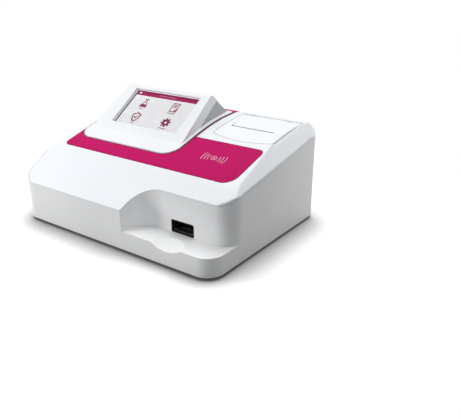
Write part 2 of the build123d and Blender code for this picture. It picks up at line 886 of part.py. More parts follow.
with BuildPart() as display_screws:
    with BuildSketch(display_mount_plane.offset(-lcd_depth - display_plate_thickness)):
        with GridLocations(display_boss_spacing_x, display_boss_spacing_y, 2, 2):
            Circle(display_screw_diameter / 2)
    extrude(amount=display_screw_length)
    with BuildSketch(display_mount_plane.offset(-lcd_depth - display_plate_thickness)):
        with GridLocations(display_boss_spacing_x, display_boss_spacing_y, 2, 2):
            Circle(display_screw_diameter)
    extrude(amount=-display_screw_head_height)
finish(display_screws.part, "display_screws")

with BuildPart() as display_board:
    with BuildSketch(display_mount_plane.offset(-display_board_depth)):
        Rectangle(display_board_width, display_board_height)
    extrude(amount=-board_thickness)
    with BuildSketch(display_mount_plane.offset(-display_board_depth - board_thickness)):
        Rectangle(display_chip_size, display_chip_size)
        with Locations((-display_board_width / 3, display_board_height / 5)):
            Rectangle(memory_chip_length, memory_chip_width)
    extrude(amount=-chip_height)
finish(display_board.part, "display_board")

# Printer: frame, lid with the platen, gears, print head and paper roll
arm_inner = paper_slot_width / 2 + arm_gap
arm_outer = arm_inner + arm_thickness
tub_half = arm_outer + tray_side_gap
tub_left = paper_x - tub_half
tub_right = paper_x + tub_half
tub_back = hinge_y - frame_to_hinge
tub_front = tub_back - frame_length
tub_floor = roll_z - paper_roll_diameter / 2 - frame_floor_gap
gear_x = tub_right + frame_wall + tray_side_gap
gear_clear_x = gear_x + gear_width + gear_room
platen_reach = gear_module * (platen_teeth + transfer_teeth) / 2
pinion_reach = gear_module * (transfer_teeth + pinion_teeth) / 2
transfer_y = platen_y - platen_reach * cos(radians(transfer_angle))
transfer_z = platen_z - platen_reach * sin(radians(transfer_angle))
pinion_y = transfer_y - pinion_reach * cos(radians(pinion_angle))
pinion_z = transfer_z - pinion_reach * sin(radians(pinion_angle))
frame_top = -wall - rim_gap
ear_x = [lid_x - hinge_ear_spacing / 2, lid_x + hinge_ear_spacing / 2]
head_way = (0, -sin(radians(head_angle)), -cos(radians(head_angle)))
head_plane = Plane(origin=(paper_x, platen_y, platen_z), x_dir=(1, 0, 0), z_dir=head_way)
head_start = platen_diameter / 2 + seat_gap
ear_length = hinge_y - tub_back + frame_wall


def transfer_phase():
    """Turn that puts a gap of the transfer gear opposite the platen gear."""
    return transfer_angle + 180 / transfer_teeth


def pinion_phase():
    """Turn that puts a pinion tooth into a gap of the transfer gear."""
    pitch = 360 / transfer_teeth
    share = ((pinion_angle + 180 - transfer_phase()) % pitch) / pitch
    return pinion_angle + (share - 0.5) * 360 / pinion_teeth


def gear_outline(teeth, turn, bore):
    """A spur gear with slim straight-sided teeth, one of them at the angle turn."""
    pitch_radius = gear_module * teeth / 2
    root = pitch_radius - tooth_foot_depth * gear_module
    tip = pitch_radius + tooth_tip_height * gear_module
    foot = tooth_foot_half * gear_module
    crest = tooth_crest_half * gear_module
    with BuildSketch() as gear:
        Circle(root)
        with PolarLocations(0, teeth, start_angle=turn):
            Polygon((root - tooth_sink, -foot), (tip, -crest), (tip, crest), (root - tooth_sink, foot),
                    align=None)
        Circle(bore / 2, mode=Mode.SUBTRACT)
    return gear.sketch


def side_plane(x, y, z):
    """A plane square to X, with its own X along the body and its own Y up."""
    return Plane(origin=(x, y, z), x_dir=(0, 1, 0), z_dir=(1, 0, 0))


rim_outline = lid_outline(lid_gap + frame_rim, hinge_y + hinge_radius)
rim_back = hinge_y + hinge_radius + lid_gap
tub_center_y = (tub_front + tub_back) / 2
tub_length = tub_back - tub_front

with BuildPart() as printer_frame:
    add(deck_layer(rim_outline, frame_top - rim_thickness, frame_top))
    with BuildSketch(Plane.XY.offset(tub_floor)):
        with Locations(((tub_left + gear_clear_x) / 2, (tub_front + frame_wall + rim_back) / 2)):
            Rectangle(gear_clear_x - tub_left, rim_back - tub_front - frame_wall)
    extrude(amount=top_z, mode=Mode.SUBTRACT)
    with BuildSketch(Plane.XY.offset(tub_floor - frame_wall)):
        with Locations((paper_x, tub_center_y)):
            Rectangle(2 * (tub_half + frame_wall), tub_length)
            Rectangle(2 * tub_half, tub_length - 2 * frame_wall, mode=Mode.SUBTRACT)
    walls = extrude(amount=top_z, mode=Mode.PRIVATE)
    add(walls & extrude(deck_profile(frame_top, 0), amount=body_width, both=True, mode=Mode.PRIVATE))
    with BuildSketch(Plane.XY.offset(tub_floor - frame_wall)):
        with Locations((paper_x, tub_center_y)):
            Rectangle(2 * (tub_half + frame_wall), tub_length)
    extrude(amount=frame_wall)
    split(bisect_by=shoulder_plane(1, -frame_top), keep=Keep.BOTTOM)
    with BuildSketch(side_plane(lid_x - lid_width / 2 - lid_gap, hinge_y, hinge_z)):
        Circle(hinge_radius + knuckle_gap)
        with Locations((0, hinge_radius)):
            Rectangle(2 * (hinge_radius + knuckle_gap), 2 * hinge_radius)
    extrude(amount=lid_width + 2 * lid_gap, mode=Mode.SUBTRACT)
    for x in ear_x:
        with BuildSketch(side_plane(x - hinge_ear_width / 2, hinge_y, hinge_z)):
            with Locations((-ear_length / 2, -ear_length)):
                Rectangle(ear_length, 2 * ear_length)
            Circle(hinge_radius - ear_gap)
        extrude(amount=hinge_ear_width)
    with BuildSketch(side_plane(lid_x - hinge_ear_spacing, hinge_y, hinge_z)):
        Circle(hinge_pin_diameter / 2 + running_clearance)
    extrude(amount=2 * hinge_ear_spacing, mode=Mode.SUBTRACT)
    with BuildSketch(side_plane(tub_right, platen_y, platen_z)):
        with Locations((0, notch_height / 2 - platen_shaft_diameter)):
            Rectangle(notch_width, notch_height)
    extrude(amount=frame_wall, mode=Mode.SUBTRACT)
    with BuildSketch(side_plane(tub_right, transfer_y, transfer_z)):
        Circle(gear_pin_diameter / 2)
    extrude(amount=gear_x + gear_width - tub_right)
    with BuildSketch(side_plane(tub_right, pinion_y, pinion_z)):
        Circle(motor_shaft_hole / 2)
    extrude(amount=frame_wall, mode=Mode.SUBTRACT)
    with BuildSketch(head_plane.offset(head_start + head_thickness)):
        with Locations((0, head_shift)):
            Rectangle(2 * tub_half, head_bar_length)
    extrude(amount=head_bar_thickness)
finish(printer_frame.part, "printer_frame")

arm_places = [paper_x - arm_outer, paper_x + arm_inner]
hook_x = paper_x - (paper_slot_width - slot_hook_width) / 2
with BuildPart() as printer_lid:
    with BuildSketch(side_plane(lid_x - lid_width / 2, hinge_y, hinge_z)):
        Circle(hinge_radius)
    extrude(amount=lid_width)
    for x in arm_places:
        with BuildSketch(side_plane(x, platen_y, platen_z)):
            Circle(platen_bush_diameter / 2 + arm_rim)
            with Locations((0, platen_drop / 2)):
                Rectangle(platen_bush_diameter + 2 * arm_rim, platen_drop)
        extrude(amount=arm_thickness)
    extrude(deck_profile(0, 0), amount=body_width, both=True, mode=Mode.INTERSECT)
    add(deck_layer(lid_outline(0, hinge_y), -lid_thickness, 0))
    split(bisect_by=shoulder_plane(1, 0), keep=Keep.BOTTOM)
    for x in arm_places:
        with BuildSketch(side_plane(x, platen_y, platen_z)):
            Circle(platen_bush_diameter / 2)
        extrude(amount=arm_thickness, mode=Mode.SUBTRACT)
    with BuildSketch(Plane.XY.offset(tub_floor)):
        with Locations((paper_x, paper_y)):
            Rectangle(paper_slot_width, paper_slot_opening)
        with Locations((hook_x, paper_y + slot_hook_length / 2)):
            Rectangle(slot_hook_width, slot_hook_length)
        with Locations(*[(x, hinge_y) for x in ear_x]):
            Rectangle(hinge_ear_width + 2 * knuckle_gap, 2 * hinge_radius + 2 * knuckle_gap)
    extrude(amount=top_z, mode=Mode.SUBTRACT)
    with BuildSketch(side_plane(lid_x - lid_width / 2, hinge_y, hinge_z)):
        Circle(hinge_pin_diameter / 2 + running_clearance)
    extrude(amount=lid_width, mode=Mode.SUBTRACT)
finish(printer_lid.part, "printer_lid")

with BuildPart() as lid_hinge_pin:
    with BuildSketch(side_plane(lid_x - lid_width / 2 + pin_inset, hinge_y, hinge_z)):
        Circle(hinge_pin_diameter / 2)
    extrude(amount=lid_width - 2 * pin_inset)
finish(lid_hinge_pin.part, "lid_hinge_pin")

with BuildPart() as platen_bushes:
    for x in arm_places:
        with BuildSketch(side_plane(x, platen_y, platen_z)):
            Circle(platen_bush_diameter / 2)
            Circle(platen_shaft_diameter / 2 + running_clearance, mode=Mode.SUBTRACT)
        extrude(amount=arm_thickness)
finish(platen_bushes.part, "platen_bushes")

with BuildPart() as platen_shaft:
    with BuildSketch(side_plane(paper_x - arm_outer, platen_y, platen_z)):
        Circle(platen_shaft_diameter / 2)
    extrude(amount=gear_x + gear_width - paper_x + arm_outer)
finish(platen_shaft.part, "platen_shaft")

with BuildPart() as platen_roller:
    with BuildSketch(side_plane(paper_x - paper_width / 2, platen_y, platen_z)):
        Circle(platen_diameter / 2)
        Circle(platen_shaft_diameter / 2, mode=Mode.SUBTRACT)
    extrude(amount=paper_width)
finish(platen_roller.part, "platen_roller")

with BuildPart() as platen_gear:
    with BuildSketch(side_plane(gear_x, platen_y, platen_z)):
        add(gear_outline(platen_teeth, transfer_angle + 180, platen_shaft_diameter))
    extrude(amount=gear_width)
finish(platen_gear.part, "platen_gear")

with BuildPart() as transfer_gear:
    with BuildSketch(side_plane(gear_x, transfer_y, transfer_z)):
        add(gear_outline(transfer_teeth, transfer_phase(), gear_pin_diameter + 2 * running_clearance))
    extrude(amount=gear_width)
finish(transfer_gear.part, "transfer_gear")

with BuildPart() as motor_pinion:
    with BuildSketch(side_plane(gear_x, pinion_y, pinion_z)):
        add(gear_outline(pinion_teeth, pinion_phase(), pinion_shaft_diameter / 2))
        Circle(pinion_shaft_diameter / 2)
    extrude(amount=gear_width)
    with BuildSketch(side_plane(tub_right - pinion_shaft_reach, pinion_y, pinion_z)):
        Circle(pinion_shaft_diameter / 2)
    extrude(amount=gear_x - tub_right + pinion_shaft_reach)
finish(motor_pinion.part, "motor_pinion")

with BuildPart() as printer_motor:
    with BuildSketch(side_plane(tub_right, pinion_y, pinion_z)):
        Circle(printer_motor_diameter / 2)
    extrude(amount=-printer_motor_length)
    with BuildSketch(side_plane(tub_right, pinion_y, pinion_z)):
        Circle(pinion_shaft_diameter / 2 + running_clearance)
    extrude(amount=-pinion_shaft_reach - shaft_end_room, mode=Mode.SUBTRACT)
finish(printer_motor.part, "printer_motor")

with BuildPart() as print_head:
    with BuildSketch(head_plane.offset(head_start)):
        with Locations((0, head_shift)):
            Rectangle(head_width, head_length)
    extrude(amount=head_thickness)
finish(print_head.part, "print_head")

with BuildPart() as roll_spindle:
    with BuildSketch(side_plane(tub_left, roll_y, roll_z)):
        Circle(roll_spindle_diameter / 2)
    extrude(amount=2 * tub_half)
finish(roll_spindle.part, "roll_spindle")

with BuildPart() as roll_core:
    with BuildSketch(side_plane(paper_x - paper_width / 2, roll_y, roll_z)):
        Circle(roll_core_diameter / 2)
        Circle(roll_spindle_diameter / 2 + running_clearance, mode=Mode.SUBTRACT)
    extrude(amount=paper_width)
finish(roll_core.part, "roll_core")

with BuildPart() as paper_roll:
    with BuildSketch(side_plane(paper_x - paper_width / 2, roll_y, roll_z)):
        Circle(paper_roll_diameter / 2)
        Circle(roll_core_diameter / 2, mode=Mode.SUBTRACT)
    extrude(amount=paper_width)
finish(paper_roll.part, "paper_roll")

# Cassette carriage: chassis, rods, block, tray, belt and motor
block_bottom = tray_z - carriage_height
rod_z = tray_z - rod_drop
block_front = tray_back - carriage_length
front_bracket_y = block_front - carriage_travel - bracket_gap - bracket_thickness
rear_bracket_y = tray_back + rear_bracket_gap
bracket_top = rod_z + rod_diameter / 2 + bracket_rim
pitch_radius = pulley_teeth * belt_pitch / (2 * pi)
pulley_radius = pitch_radius - belt_pitch_drop
belt_inner = pulley_radius + seat_gap
belt_outer = belt_inner + belt_thickness
axis_z = chassis_top + motor_size / 2 + motor_lift
rod_places = [(-rod_spacing / 2, 0), (rod_spacing / 2, 0)]

with BuildPart() as chassis_plate:
    with BuildSketch(Plane.XY.offset(chassis_z)):
        with Locations((slot_x, (chassis_front + chassis_back) / 2)):
            Rectangle(chassis_width, chassis_back - chassis_front)
        with Locations(*chassis_screw_places):
            Circle(pilot_diameter / 2, mode=Mode.SUBTRACT)
    extrude(amount=chassis_thickness)
finish(chassis_plate.part, "chassis_plate")

with BuildPart() as chassis_screws:
    with BuildSketch(Plane.XY.offset(chassis_top)):
        with Locations(*chassis_screw_places):
            Circle(screw_head_diameter / 2)
    extrude(amount=screw_head_height)
    with BuildSketch(Plane.XY.offset(chassis_top)):
        with Locations(*chassis_screw_places):
            Circle(screw_diameter / 2)
    extrude(amount=-chassis_thickness - chassis_lift - screw_tip)
finish(chassis_screws.part, "chassis_screws")

with BuildPart() as guide_rods:
    for side in (-1, 1):
        rod_end = (slot_x + side * rod_spacing / 2, front_bracket_y, rod_z)
        with BuildSketch(Plane(origin=rod_end, z_dir=(0, 1, 0))):
            Circle(rod_diameter / 2)
        extrude(amount=rear_bracket_y + bracket_thickness - front_bracket_y)
finish(guide_rods.part, "guide_rods")

with BuildPart() as rod_brackets:
    for y in (front_bracket_y, rear_bracket_y):
        with BuildSketch(Plane.XY.offset(chassis_top)):
            with Locations((slot_x, y + bracket_thickness / 2)):
                Rectangle(carriage_width, bracket_thickness)
        extrude(amount=bracket_top - chassis_top)
        with BuildSketch(Plane(origin=(slot_x, y, rod_z), x_dir=(1, 0, 0), z_dir=(0, -1, 0))):
            with Locations(*rod_places):
                Circle(rod_diameter / 2)
        extrude(amount=-bracket_thickness, mode=Mode.SUBTRACT)
finish(rod_brackets.part, "rod_brackets")

block_plane = Plane(origin=(slot_x, block_front, rod_z), x_dir=(1, 0, 0), z_dir=(0, -1, 0))
with BuildPart() as carriage_block:
    with BuildSketch(Plane.XY.offset(block_bottom)):
        with Locations((slot_x, block_front + carriage_length / 2)):
            Rectangle(carriage_width, carriage_length)
    extrude(amount=carriage_height)
    fillet(carriage_block.edges().filter_by(Axis.Z), block_corner_radius)
    with BuildSketch(block_plane):
        with Locations(*rod_places):
            Circle(bush_diameter / 2)
    extrude(amount=-carriage_length, mode=Mode.SUBTRACT)
finish(carriage_block.part, "carriage_block")

with BuildPart() as carriage_bushes:
    for y in (0, bush_length - carriage_length):
        with BuildSketch(block_plane.offset(y)):
            with Locations(*rod_places):
                Circle(bush_diameter / 2)
                Circle(rod_diameter / 2 + running_clearance, mode=Mode.SUBTRACT)
        extrude(amount=-bush_length)
finish(carriage_bushes.part, "carriage_bushes")

with BuildPart() as cassette_tray:
    with BuildSketch(Plane.XY.offset(tray_z)):
        with Locations((slot_x, tray_front + tray_length / 2)):
            RectangleRounded(tray_width, tray_length, tray_corner_radius)
    extrude(amount=tray_height)
    with BuildSketch(Plane.XY.offset(tray_z + tray_height)):
        with Locations((slot_x, tray_front + cassette_length / 2)):
            Rectangle(cassette_width, cassette_length)
    extrude(amount=-cassette_pocket, mode=Mode.SUBTRACT)
    with BuildSketch(Plane.XY.offset(tray_z + tray_height)):
        with Locations((slot_x, tray_front)):
            Circle(thumb_radius)
    extrude(amount=-cassette_pocket - thumb_depth, mode=Mode.SUBTRACT)
finish(cassette_tray.part, "cassette_tray")

clip_y = tray_back - clip_length
spine_x = slot_x - carriage_width / 2
spine_width = spine_x - belt_x - pulley_half - flange_thickness - seat_gap
clip_low = axis_z + belt_inner - seat_gap - clip_thickness
clip_high = axis_z + belt_outer + seat_gap
clip_plane = Plane(origin=(spine_x, clip_y + clip_length / 2, 0), x_dir=(1, 0, 0), z_dir=(0, -1, 0))
with BuildPart() as belt_clip:
    with BuildSketch(clip_plane):
        with Locations((-spine_width / 2, (clip_high + clip_thickness + block_bottom) / 2)):
            Rectangle(spine_width, clip_high + clip_thickness - block_bottom)
        for low in (clip_low, clip_high):
            with Locations(((belt_x - belt_width / 2 - spine_x) / 2, low + clip_thickness / 2)):
                Rectangle(spine_x - belt_x + belt_width / 2, clip_thickness)
    extrude(amount=clip_length)
finish(belt_clip.part, "belt_clip")

with BuildPart() as timing_belt:
    with BuildSketch(side_plane(belt_x - belt_width / 2, (drive_y + idler_y) / 2, axis_z)):
        SlotCenterToCenter(drive_y - idler_y, 2 * belt_outer)
        SlotCenterToCenter(drive_y - idler_y, 2 * belt_inner, mode=Mode.SUBTRACT)
    extrude(amount=belt_width)
finish(timing_belt.part, "timing_belt")


def pulley(y, bore):
    """A toothed pulley with two flanges, its axis at y."""
    with BuildPart() as wheel:
        with BuildSketch(side_plane(belt_x - pulley_half - flange_thickness, y, axis_z)):
            Circle(pulley_radius + flange_height)
            Circle(bore / 2, mode=Mode.SUBTRACT)
        extrude(amount=2 * (pulley_half + flange_thickness))
        with BuildSketch(side_plane(belt_x - pulley_half, y, axis_z)):
            Circle(pulley_radius + 2 * flange_height)
            Circle(pulley_radius, mode=Mode.SUBTRACT)
            with PolarLocations(pulley_radius, pulley_teeth):
                Circle(pulley_groove_radius)
        extrude(amount=2 * pulley_half, mode=Mode.SUBTRACT)
    return wheel.part


finish(pulley(drive_y, motor_shaft_diameter), "drive_pulley")
finish(pulley(idler_y, idler_pin_diameter + 2 * running_clearance), "idler_pulley")

with BuildPart() as motor_shaft:
    with BuildSketch(side_plane(bracket_x - shaft_back, drive_y, axis_z)):
        Circle(motor_shaft_diameter / 2)
    extrude(amount=belt_x + pulley_half + flange_thickness - bracket_x + shaft_back)
finish(motor_shaft.part, "motor_shaft")

with BuildPart() as stepper_motor:
    with BuildSketch(side_plane(bracket_x, drive_y, axis_z)):
        RectangleRounded(motor_size, motor_size, motor_corner_radius)
    extrude(amount=-motor_length)
    with BuildSketch(side_plane(bracket_x, drive_y, axis_z)):
        Circle(motor_shaft_diameter / 2 + running_clearance)
    extrude(amount=-shaft_back - shaft_end_room, mode=Mode.SUBTRACT)
finish(stepper_motor.part, "stepper_motor")

with BuildPart() as motor_bracket:
    with BuildSketch(side_plane(bracket_x, drive_y, axis_z)):
        Rectangle(motor_size, 2 * (axis_z - chassis_top))
        Circle(motor_shaft_diameter, mode=Mode.SUBTRACT)
    extrude(amount=motor_bracket_thickness)
finish(motor_bracket.part, "motor_bracket")

with BuildPart() as idler_bracket:
    with BuildSketch(side_plane(bracket_x - idler_bracket_extra, idler_y, chassis_top)):
        with Locations((0, (axis_z - chassis_top) / 2)):
            Rectangle(idler_bracket_length, axis_z - chassis_top)
        with Locations((0, axis_z - chassis_top)):
            Circle(idler_bracket_length / 2)
    extrude(amount=motor_bracket_thickness + idler_bracket_extra)
    with BuildSketch(side_plane(bracket_x, idler_y, axis_z)):
        Circle(idler_pin_diameter / 2)
    extrude(amount=belt_x + pulley_half + flange_thickness - bracket_x)
finish(idler_bracket.part, "idler_bracket")

# Optics over the tray
optics_y = front_y + optics_back
bridge_low = tray_z + tray_height + bridge_clearance
bridge_left = bracket_x - bridge_lip
bridge_right = slot_x + carriage_width / 2 + bridge_side_gap + bridge_thickness
bridge_x = (bridge_left + bridge_right) / 2
bridge_width = bridge_right - bridge_left
bridge_plane = Plane(origin=(0, optics_y + bridge_length / 2, 0), x_dir=(1, 0, 0), z_dir=(0, -1, 0))
with BuildPart() as optics_bridge:
    with BuildSketch(bridge_plane):
        with Locations((bridge_x, (chassis_top + bridge_low + bridge_thickness) / 2)):
            Rectangle(bridge_width, bridge_low + bridge_thickness - chassis_top)
        with Locations((bridge_x, (chassis_top + bridge_low) / 2)):
            Rectangle(bridge_width - 2 * bridge_thickness, bridge_low - chassis_top, mode=Mode.SUBTRACT)
    extrude(amount=bridge_length)
    with BuildSketch(Plane.XY.offset(bridge_low)):
        with Locations((slot_x, optics_y)):
            Circle(barrel_diameter / 2)
    extrude(amount=bridge_thickness, mode=Mode.SUBTRACT)
finish(optics_bridge.part, "optics_bridge")

head_low = bridge_low + bridge_thickness
head_mid = head_low + head_block_height / 2
led_x = slot_x - head_block_width / 2
light_bore = lens_diameter - 2 * lens_seat
with BuildPart() as optical_block:
    with BuildSketch(Plane.XY.offset(head_low)):
        with Locations((slot_x, optics_y)):
            Rectangle(head_block_width, head_block_length)
            Circle(light_bore / 2, mode=Mode.SUBTRACT)
    extrude(amount=head_block_height)
    fillet(optical_block.edges().filter_by(Axis.Z).group_by(SortBy.LENGTH)[-1], head_block_corner)
    with Locations((slot_x, optics_y, head_mid)):
        Box(mirror_room, mirror_size, mirror_room, mode=Mode.SUBTRACT)
    with BuildSketch(side_plane(led_x, optics_y, head_mid)):
        Circle(led_diameter / 2)
    extrude(amount=head_block_width / 2, mode=Mode.SUBTRACT)
finish(optical_block.part, "optical_block")

with BuildPart() as beam_splitter:
    with BuildSketch(Plane(origin=(slot_x, optics_y, head_mid), x_dir=(0, 1, 0), z_dir=(1, 0, 1))):
        Rectangle(mirror_size, mirror_room * sqrt(2) - 2 * mirror_thickness)
    extrude(amount=mirror_thickness / 2, both=True)
finish(beam_splitter.part, "beam_splitter")

with BuildPart() as lens_barrel:
    with BuildSketch(Plane.XY.offset(head_low - barrel_length)):
        with Locations((slot_x, optics_y)):
            Circle(barrel_diameter / 2)
            Circle(lens_diameter / 2, mode=Mode.SUBTRACT)
    extrude(amount=barrel_length)
finish(lens_barrel.part, "lens_barrel")

with BuildPart() as objective_lens:
    with BuildSketch(Plane.XZ):
        with BuildLine():
            edge_low = (lens_diameter / 2, lens_sag)
            edge_high = (lens_diameter / 2, lens_thickness - lens_sag)
            TangentArc((0, 0), edge_low, tangent=(1, 0))
            Line(edge_low, edge_high)
            TangentArc((0, lens_thickness), edge_high, tangent=(1, 0))
            Line((0, lens_thickness), (0, 0))
        make_face()
    revolve(axis=Axis.Z)
lens_place = Location((slot_x, optics_y, head_low - barrel_length + lens_seat))
finish(objective_lens.part.moved(lens_place), "objective_lens")

with BuildPart() as excitation_led:
    with BuildSketch(side_plane(led_x, optics_y, head_mid)):
        Circle(led_diameter / 2)
    extrude(amount=led_length / 2)
    with BuildSketch(side_plane(led_x, optics_y, head_mid)):
        Circle(led_diameter)
    extrude(amount=-led_length / 2)
finish(excitation_led.part, "excitation_led")

with BuildPart() as detector_board:
    with BuildSketch(Plane.XY.offset(head_low + head_block_height)):
        with Locations((slot_x, optics_y)):
            Rectangle(detector_width, detector_length)
    extrude(amount=board_thickness)
    with BuildSketch(Plane.XY.offset(head_low + head_block_height)):
        with Locations((slot_x, optics_y)):
            Circle(light_bore / 2 - detector_gap)
    extrude(amount=-detector_depth)
finish(detector_board.part, "detector_board")

# Electronics and the rear panel
connector_front = rear_y - connector_recess
jack_x = panel_x + jack_shift
rocker_x = panel_x + rocker_shift
usb_x = [panel_x + usb_shift, panel_x - usb_shift]
lan_x = panel_x - lan_shift

with BuildPart() as main_board:
    with BuildSketch(Plane.XY.offset(board_z)):
        with Locations((board_x, board_y)):
            Rectangle(board_width, board_length)
    extrude(amount=board_thickness)
finish(main_board.part, "main_board")

ribbon_x = board_x + ribbon_shift
ribbon_y = board_y - ribbon_setback
memory_y = board_y - board_length / 3
with BuildPart() as board_parts:
    with BuildSketch(Plane.XY.offset(board_top)):
        with Locations((board_x - board_width / 10, memory_y)):
            Rectangle(processor_size, processor_size)
        with Locations((board_x + board_width / 6, memory_y)):
            with GridLocations(memory_chip_length, memory_chip_width + memory_chip_gap, 1, 2):
                Rectangle(memory_chip_length, memory_chip_width)
        with Locations((board_x + board_width / 3, board_y - board_length / 6)):
            Rectangle(driver_chip_length, driver_chip_width)
    extrude(amount=chip_height)
    with BuildSketch(Plane.XY.offset(board_top)):
        with Locations((ribbon_x, ribbon_y)):
            Rectangle(socket_length, socket_width)
    extrude(amount=socket_height)
    with BuildSketch(Plane.XY.offset(board_top)):
        with Locations((board_x + board_width / 3, board_y + board_length / 7)):
            with GridLocations(capacitor_diameter, 1.2 * capacitor_diameter, 1, 2):
                Circle(capacitor_diameter / 2)
    extrude(amount=capacitor_height)
finish(board_parts.part, "board_parts")

ribbon_start = Plane(
    origin=face_plane.from_local_coords((0, ribbon_up_face, -display_board_depth - board_thickness))).origin
with BuildPart() as display_ribbon:
    with BuildSketch(Plane.YZ.offset(ribbon_x - ribbon_width / 2)):
        with BuildLine():
            leave = (ribbon_start.Y + ribbon_drop * sin(radians(face_slope)),
                     ribbon_start.Z - ribbon_drop * cos(radians(face_slope)))
            mid = (ribbon_y + ribbon_bend, (leave[1] + board_top) / 2)
            foot = (ribbon_y, board_top + socket_height + ribbon_rise)
            FilletPolyline((ribbon_start.Y, ribbon_start.Z), leave, mid, foot,
                           (ribbon_y, board_top + socket_height), radius=ribbon_turn)
        trace(line_width=ribbon_thickness)
    extrude(amount=ribbon_width)
finish(display_ribbon.part, "display_ribbon")

with BuildPart() as rear_panel:
    with BuildSketch(panel_plane):
        Rectangle(panel_width, panel_height)
        for x, width, height, low in (
            (jack_x, jack_width, jack_height, board_top),
            (usb_x[0], usb_width, usb_height, board_top),
            (usb_x[1], usb_width, usb_height, board_top),
            (lan_x, lan_width, lan_height, board_top),
        ):
            with Locations((panel_x - x, low + height / 2 - panel_z)):
                Rectangle(width + 2 * fit_clearance, height + 2 * fit_clearance, mode=Mode.SUBTRACT)
        with Locations((panel_x - rocker_x, 0)):
            Rectangle(rocker_width, rocker_height, mode=Mode.SUBTRACT)
        with GridLocations(panel_screw_spacing_x, panel_screw_spacing_z, 2, 2):
            Circle(screw_diameter / 2 + running_clearance, mode=Mode.SUBTRACT)
    extrude(amount=-panel_thickness)
finish(rear_panel.part, "rear_panel")

with BuildPart() as panel_screws:
    with BuildSketch(panel_plane.offset(-panel_thickness)):
        with GridLocations(panel_screw_spacing_x, panel_screw_spacing_z, 2, 2):
            Circle(screw_diameter / 2)
    extrude(amount=panel_thickness + panel_screw_reach - panel_screw_gap)
    with BuildSketch(panel_plane.offset(-panel_thickness)):
        with GridLocations(panel_screw_spacing_x, panel_screw_spacing_z, 2, 2):
            Circle(panel_screw_head_diameter / 2)
    extrude(amount=-panel_screw_head_height)
finish(panel_screws.part, "panel_screws")


def connector(x, width, height, depth):
    """A connector's body on the board's rear edge, with its front just inside the rear wall's face."""
    with BuildPart() as body:
        with BuildSketch(Plane.XY.offset(board_top)):
            with Locations((x, connector_front - depth / 2)):
                Rectangle(width, depth)
        extrude(amount=height)
    return body.part


def port_plane(x, height):
    """The plane of a connector's front, seen from behind the casing."""
    return Plane(origin=(x, connector_front, board_top + height / 2), x_dir=(-1, 0, 0), z_dir=(0, 1, 0))


with BuildPart() as power_jack:
    add(connector(jack_x, jack_width, jack_height, jack_depth))
    with BuildSketch(port_plane(jack_x, jack_height)):
        Circle(jack_bore / 2)
        Circle(jack_pin_diameter / 2, mode=Mode.SUBTRACT)
    extrude(amount=-port_depth, mode=Mode.SUBTRACT)
finish(power_jack.part, "power_jack")

with BuildPart() as usb_ports:
    for x in usb_x:
        add(connector(x, usb_width, usb_height, usb_depth))
        with BuildSketch(port_plane(x, usb_height)):
            Rectangle(usb_width - 2 * usb_shell, usb_height - 2 * usb_shell)
            with Locations((0, usb_tongue_rise)):
                Rectangle(usb_tongue_width, usb_tongue_height, mode=Mode.SUBTRACT)
        extrude(amount=-port_depth, mode=Mode.SUBTRACT)
finish(usb_ports.part, "usb_ports")

with BuildPart() as lan_port:
    add(connector(lan_x, lan_width, lan_height, lan_depth))
    with BuildSketch(port_plane(lan_x, lan_height)):
        with Locations((0, -lan_mouth_drop)):
            Rectangle(lan_mouth_width, lan_mouth_height)
        with Locations((0, lan_latch_rise)):
            Rectangle(lan_latch_width, lan_latch_height)
    extrude(amount=-port_depth, mode=Mode.SUBTRACT)
finish(lan_port.part, "lan_port")

rocker_well_width = rocker_width - 2 * rocker_well_side
rocker_well_height = rocker_height - 2 * rocker_well_edge
pivot_y = rear_y - wall - rocker_pivot_depth
rocker_front_plane = Plane(origin=(rocker_x, rear_y - wall, panel_z), x_dir=(-1, 0, 0), z_dir=(0, 1, 0))
with BuildPart() as rocker_housing:
    with BuildSketch(rocker_front_plane):
        Rectangle(rocker_width + 2 * rocker_flange_lip, rocker_height + 2 * rocker_flange_lip)
    extrude(amount=rocker_flange)
    with BuildSketch(rocker_front_plane):
        Rectangle(rocker_width, rocker_height)
    extrude(amount=-rocker_body_depth)
    with BuildSketch(rocker_front_plane.offset(rocker_flange)):
        Rectangle(rocker_well_width, rocker_well_height)
    extrude(amount=-rocker_well_depth, mode=Mode.SUBTRACT)
    with BuildSketch(Plane.XY.offset(panel_z - rocker_height / 2)):
        with Locations((rocker_x, pivot_y)):
            Circle(rocker_pivot_diameter / 2 + running_clearance)
    extrude(amount=rocker_height, mode=Mode.SUBTRACT)
finish(rocker_housing.part, "rocker_housing")

rocker_half = rocker_well_width / 2 - rocker_end_gap
rocker_thick = rocker_well_height - 2 * fit_clearance
rocker_way = (cos(radians(-rocker_tilt)), sin(radians(-rocker_tilt)), 0)
rocker_base = (rocker_x, pivot_y, panel_z - rocker_thick / 2)
with BuildPart() as power_rocker:
    rocker_place = Plane(origin=rocker_base, x_dir=rocker_way, z_dir=(0, 0, 1))
    with BuildSketch(rocker_place):
        Polygon((-rocker_half, -rocker_below_pivot), (rocker_half, -rocker_below_pivot),
                (rocker_half, rocker_above_pivot), (0, rocker_above_pivot - rocker_dip),
                (-rocker_half, rocker_above_pivot), align=None)
    extrude(amount=rocker_thick)
    with BuildSketch(Plane.XY.offset(panel_z - rocker_height / 2)):
        with Locations((rocker_x, pivot_y)):
            Circle(rocker_pivot_diameter / 2)
    extrude(amount=rocker_height)
finish(power_rocker.part, "power_rocker")

# Card reader board under the overlay's lobe
with BuildPart() as reader_board:
    with BuildSketch(reader_plane.offset(-reader_drop)):
        Rectangle(reader_width, reader_length)
    extrude(amount=-board_thickness)
finish(reader_board.part, "reader_board")
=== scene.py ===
from math import cos, pi, radians, sin, tan

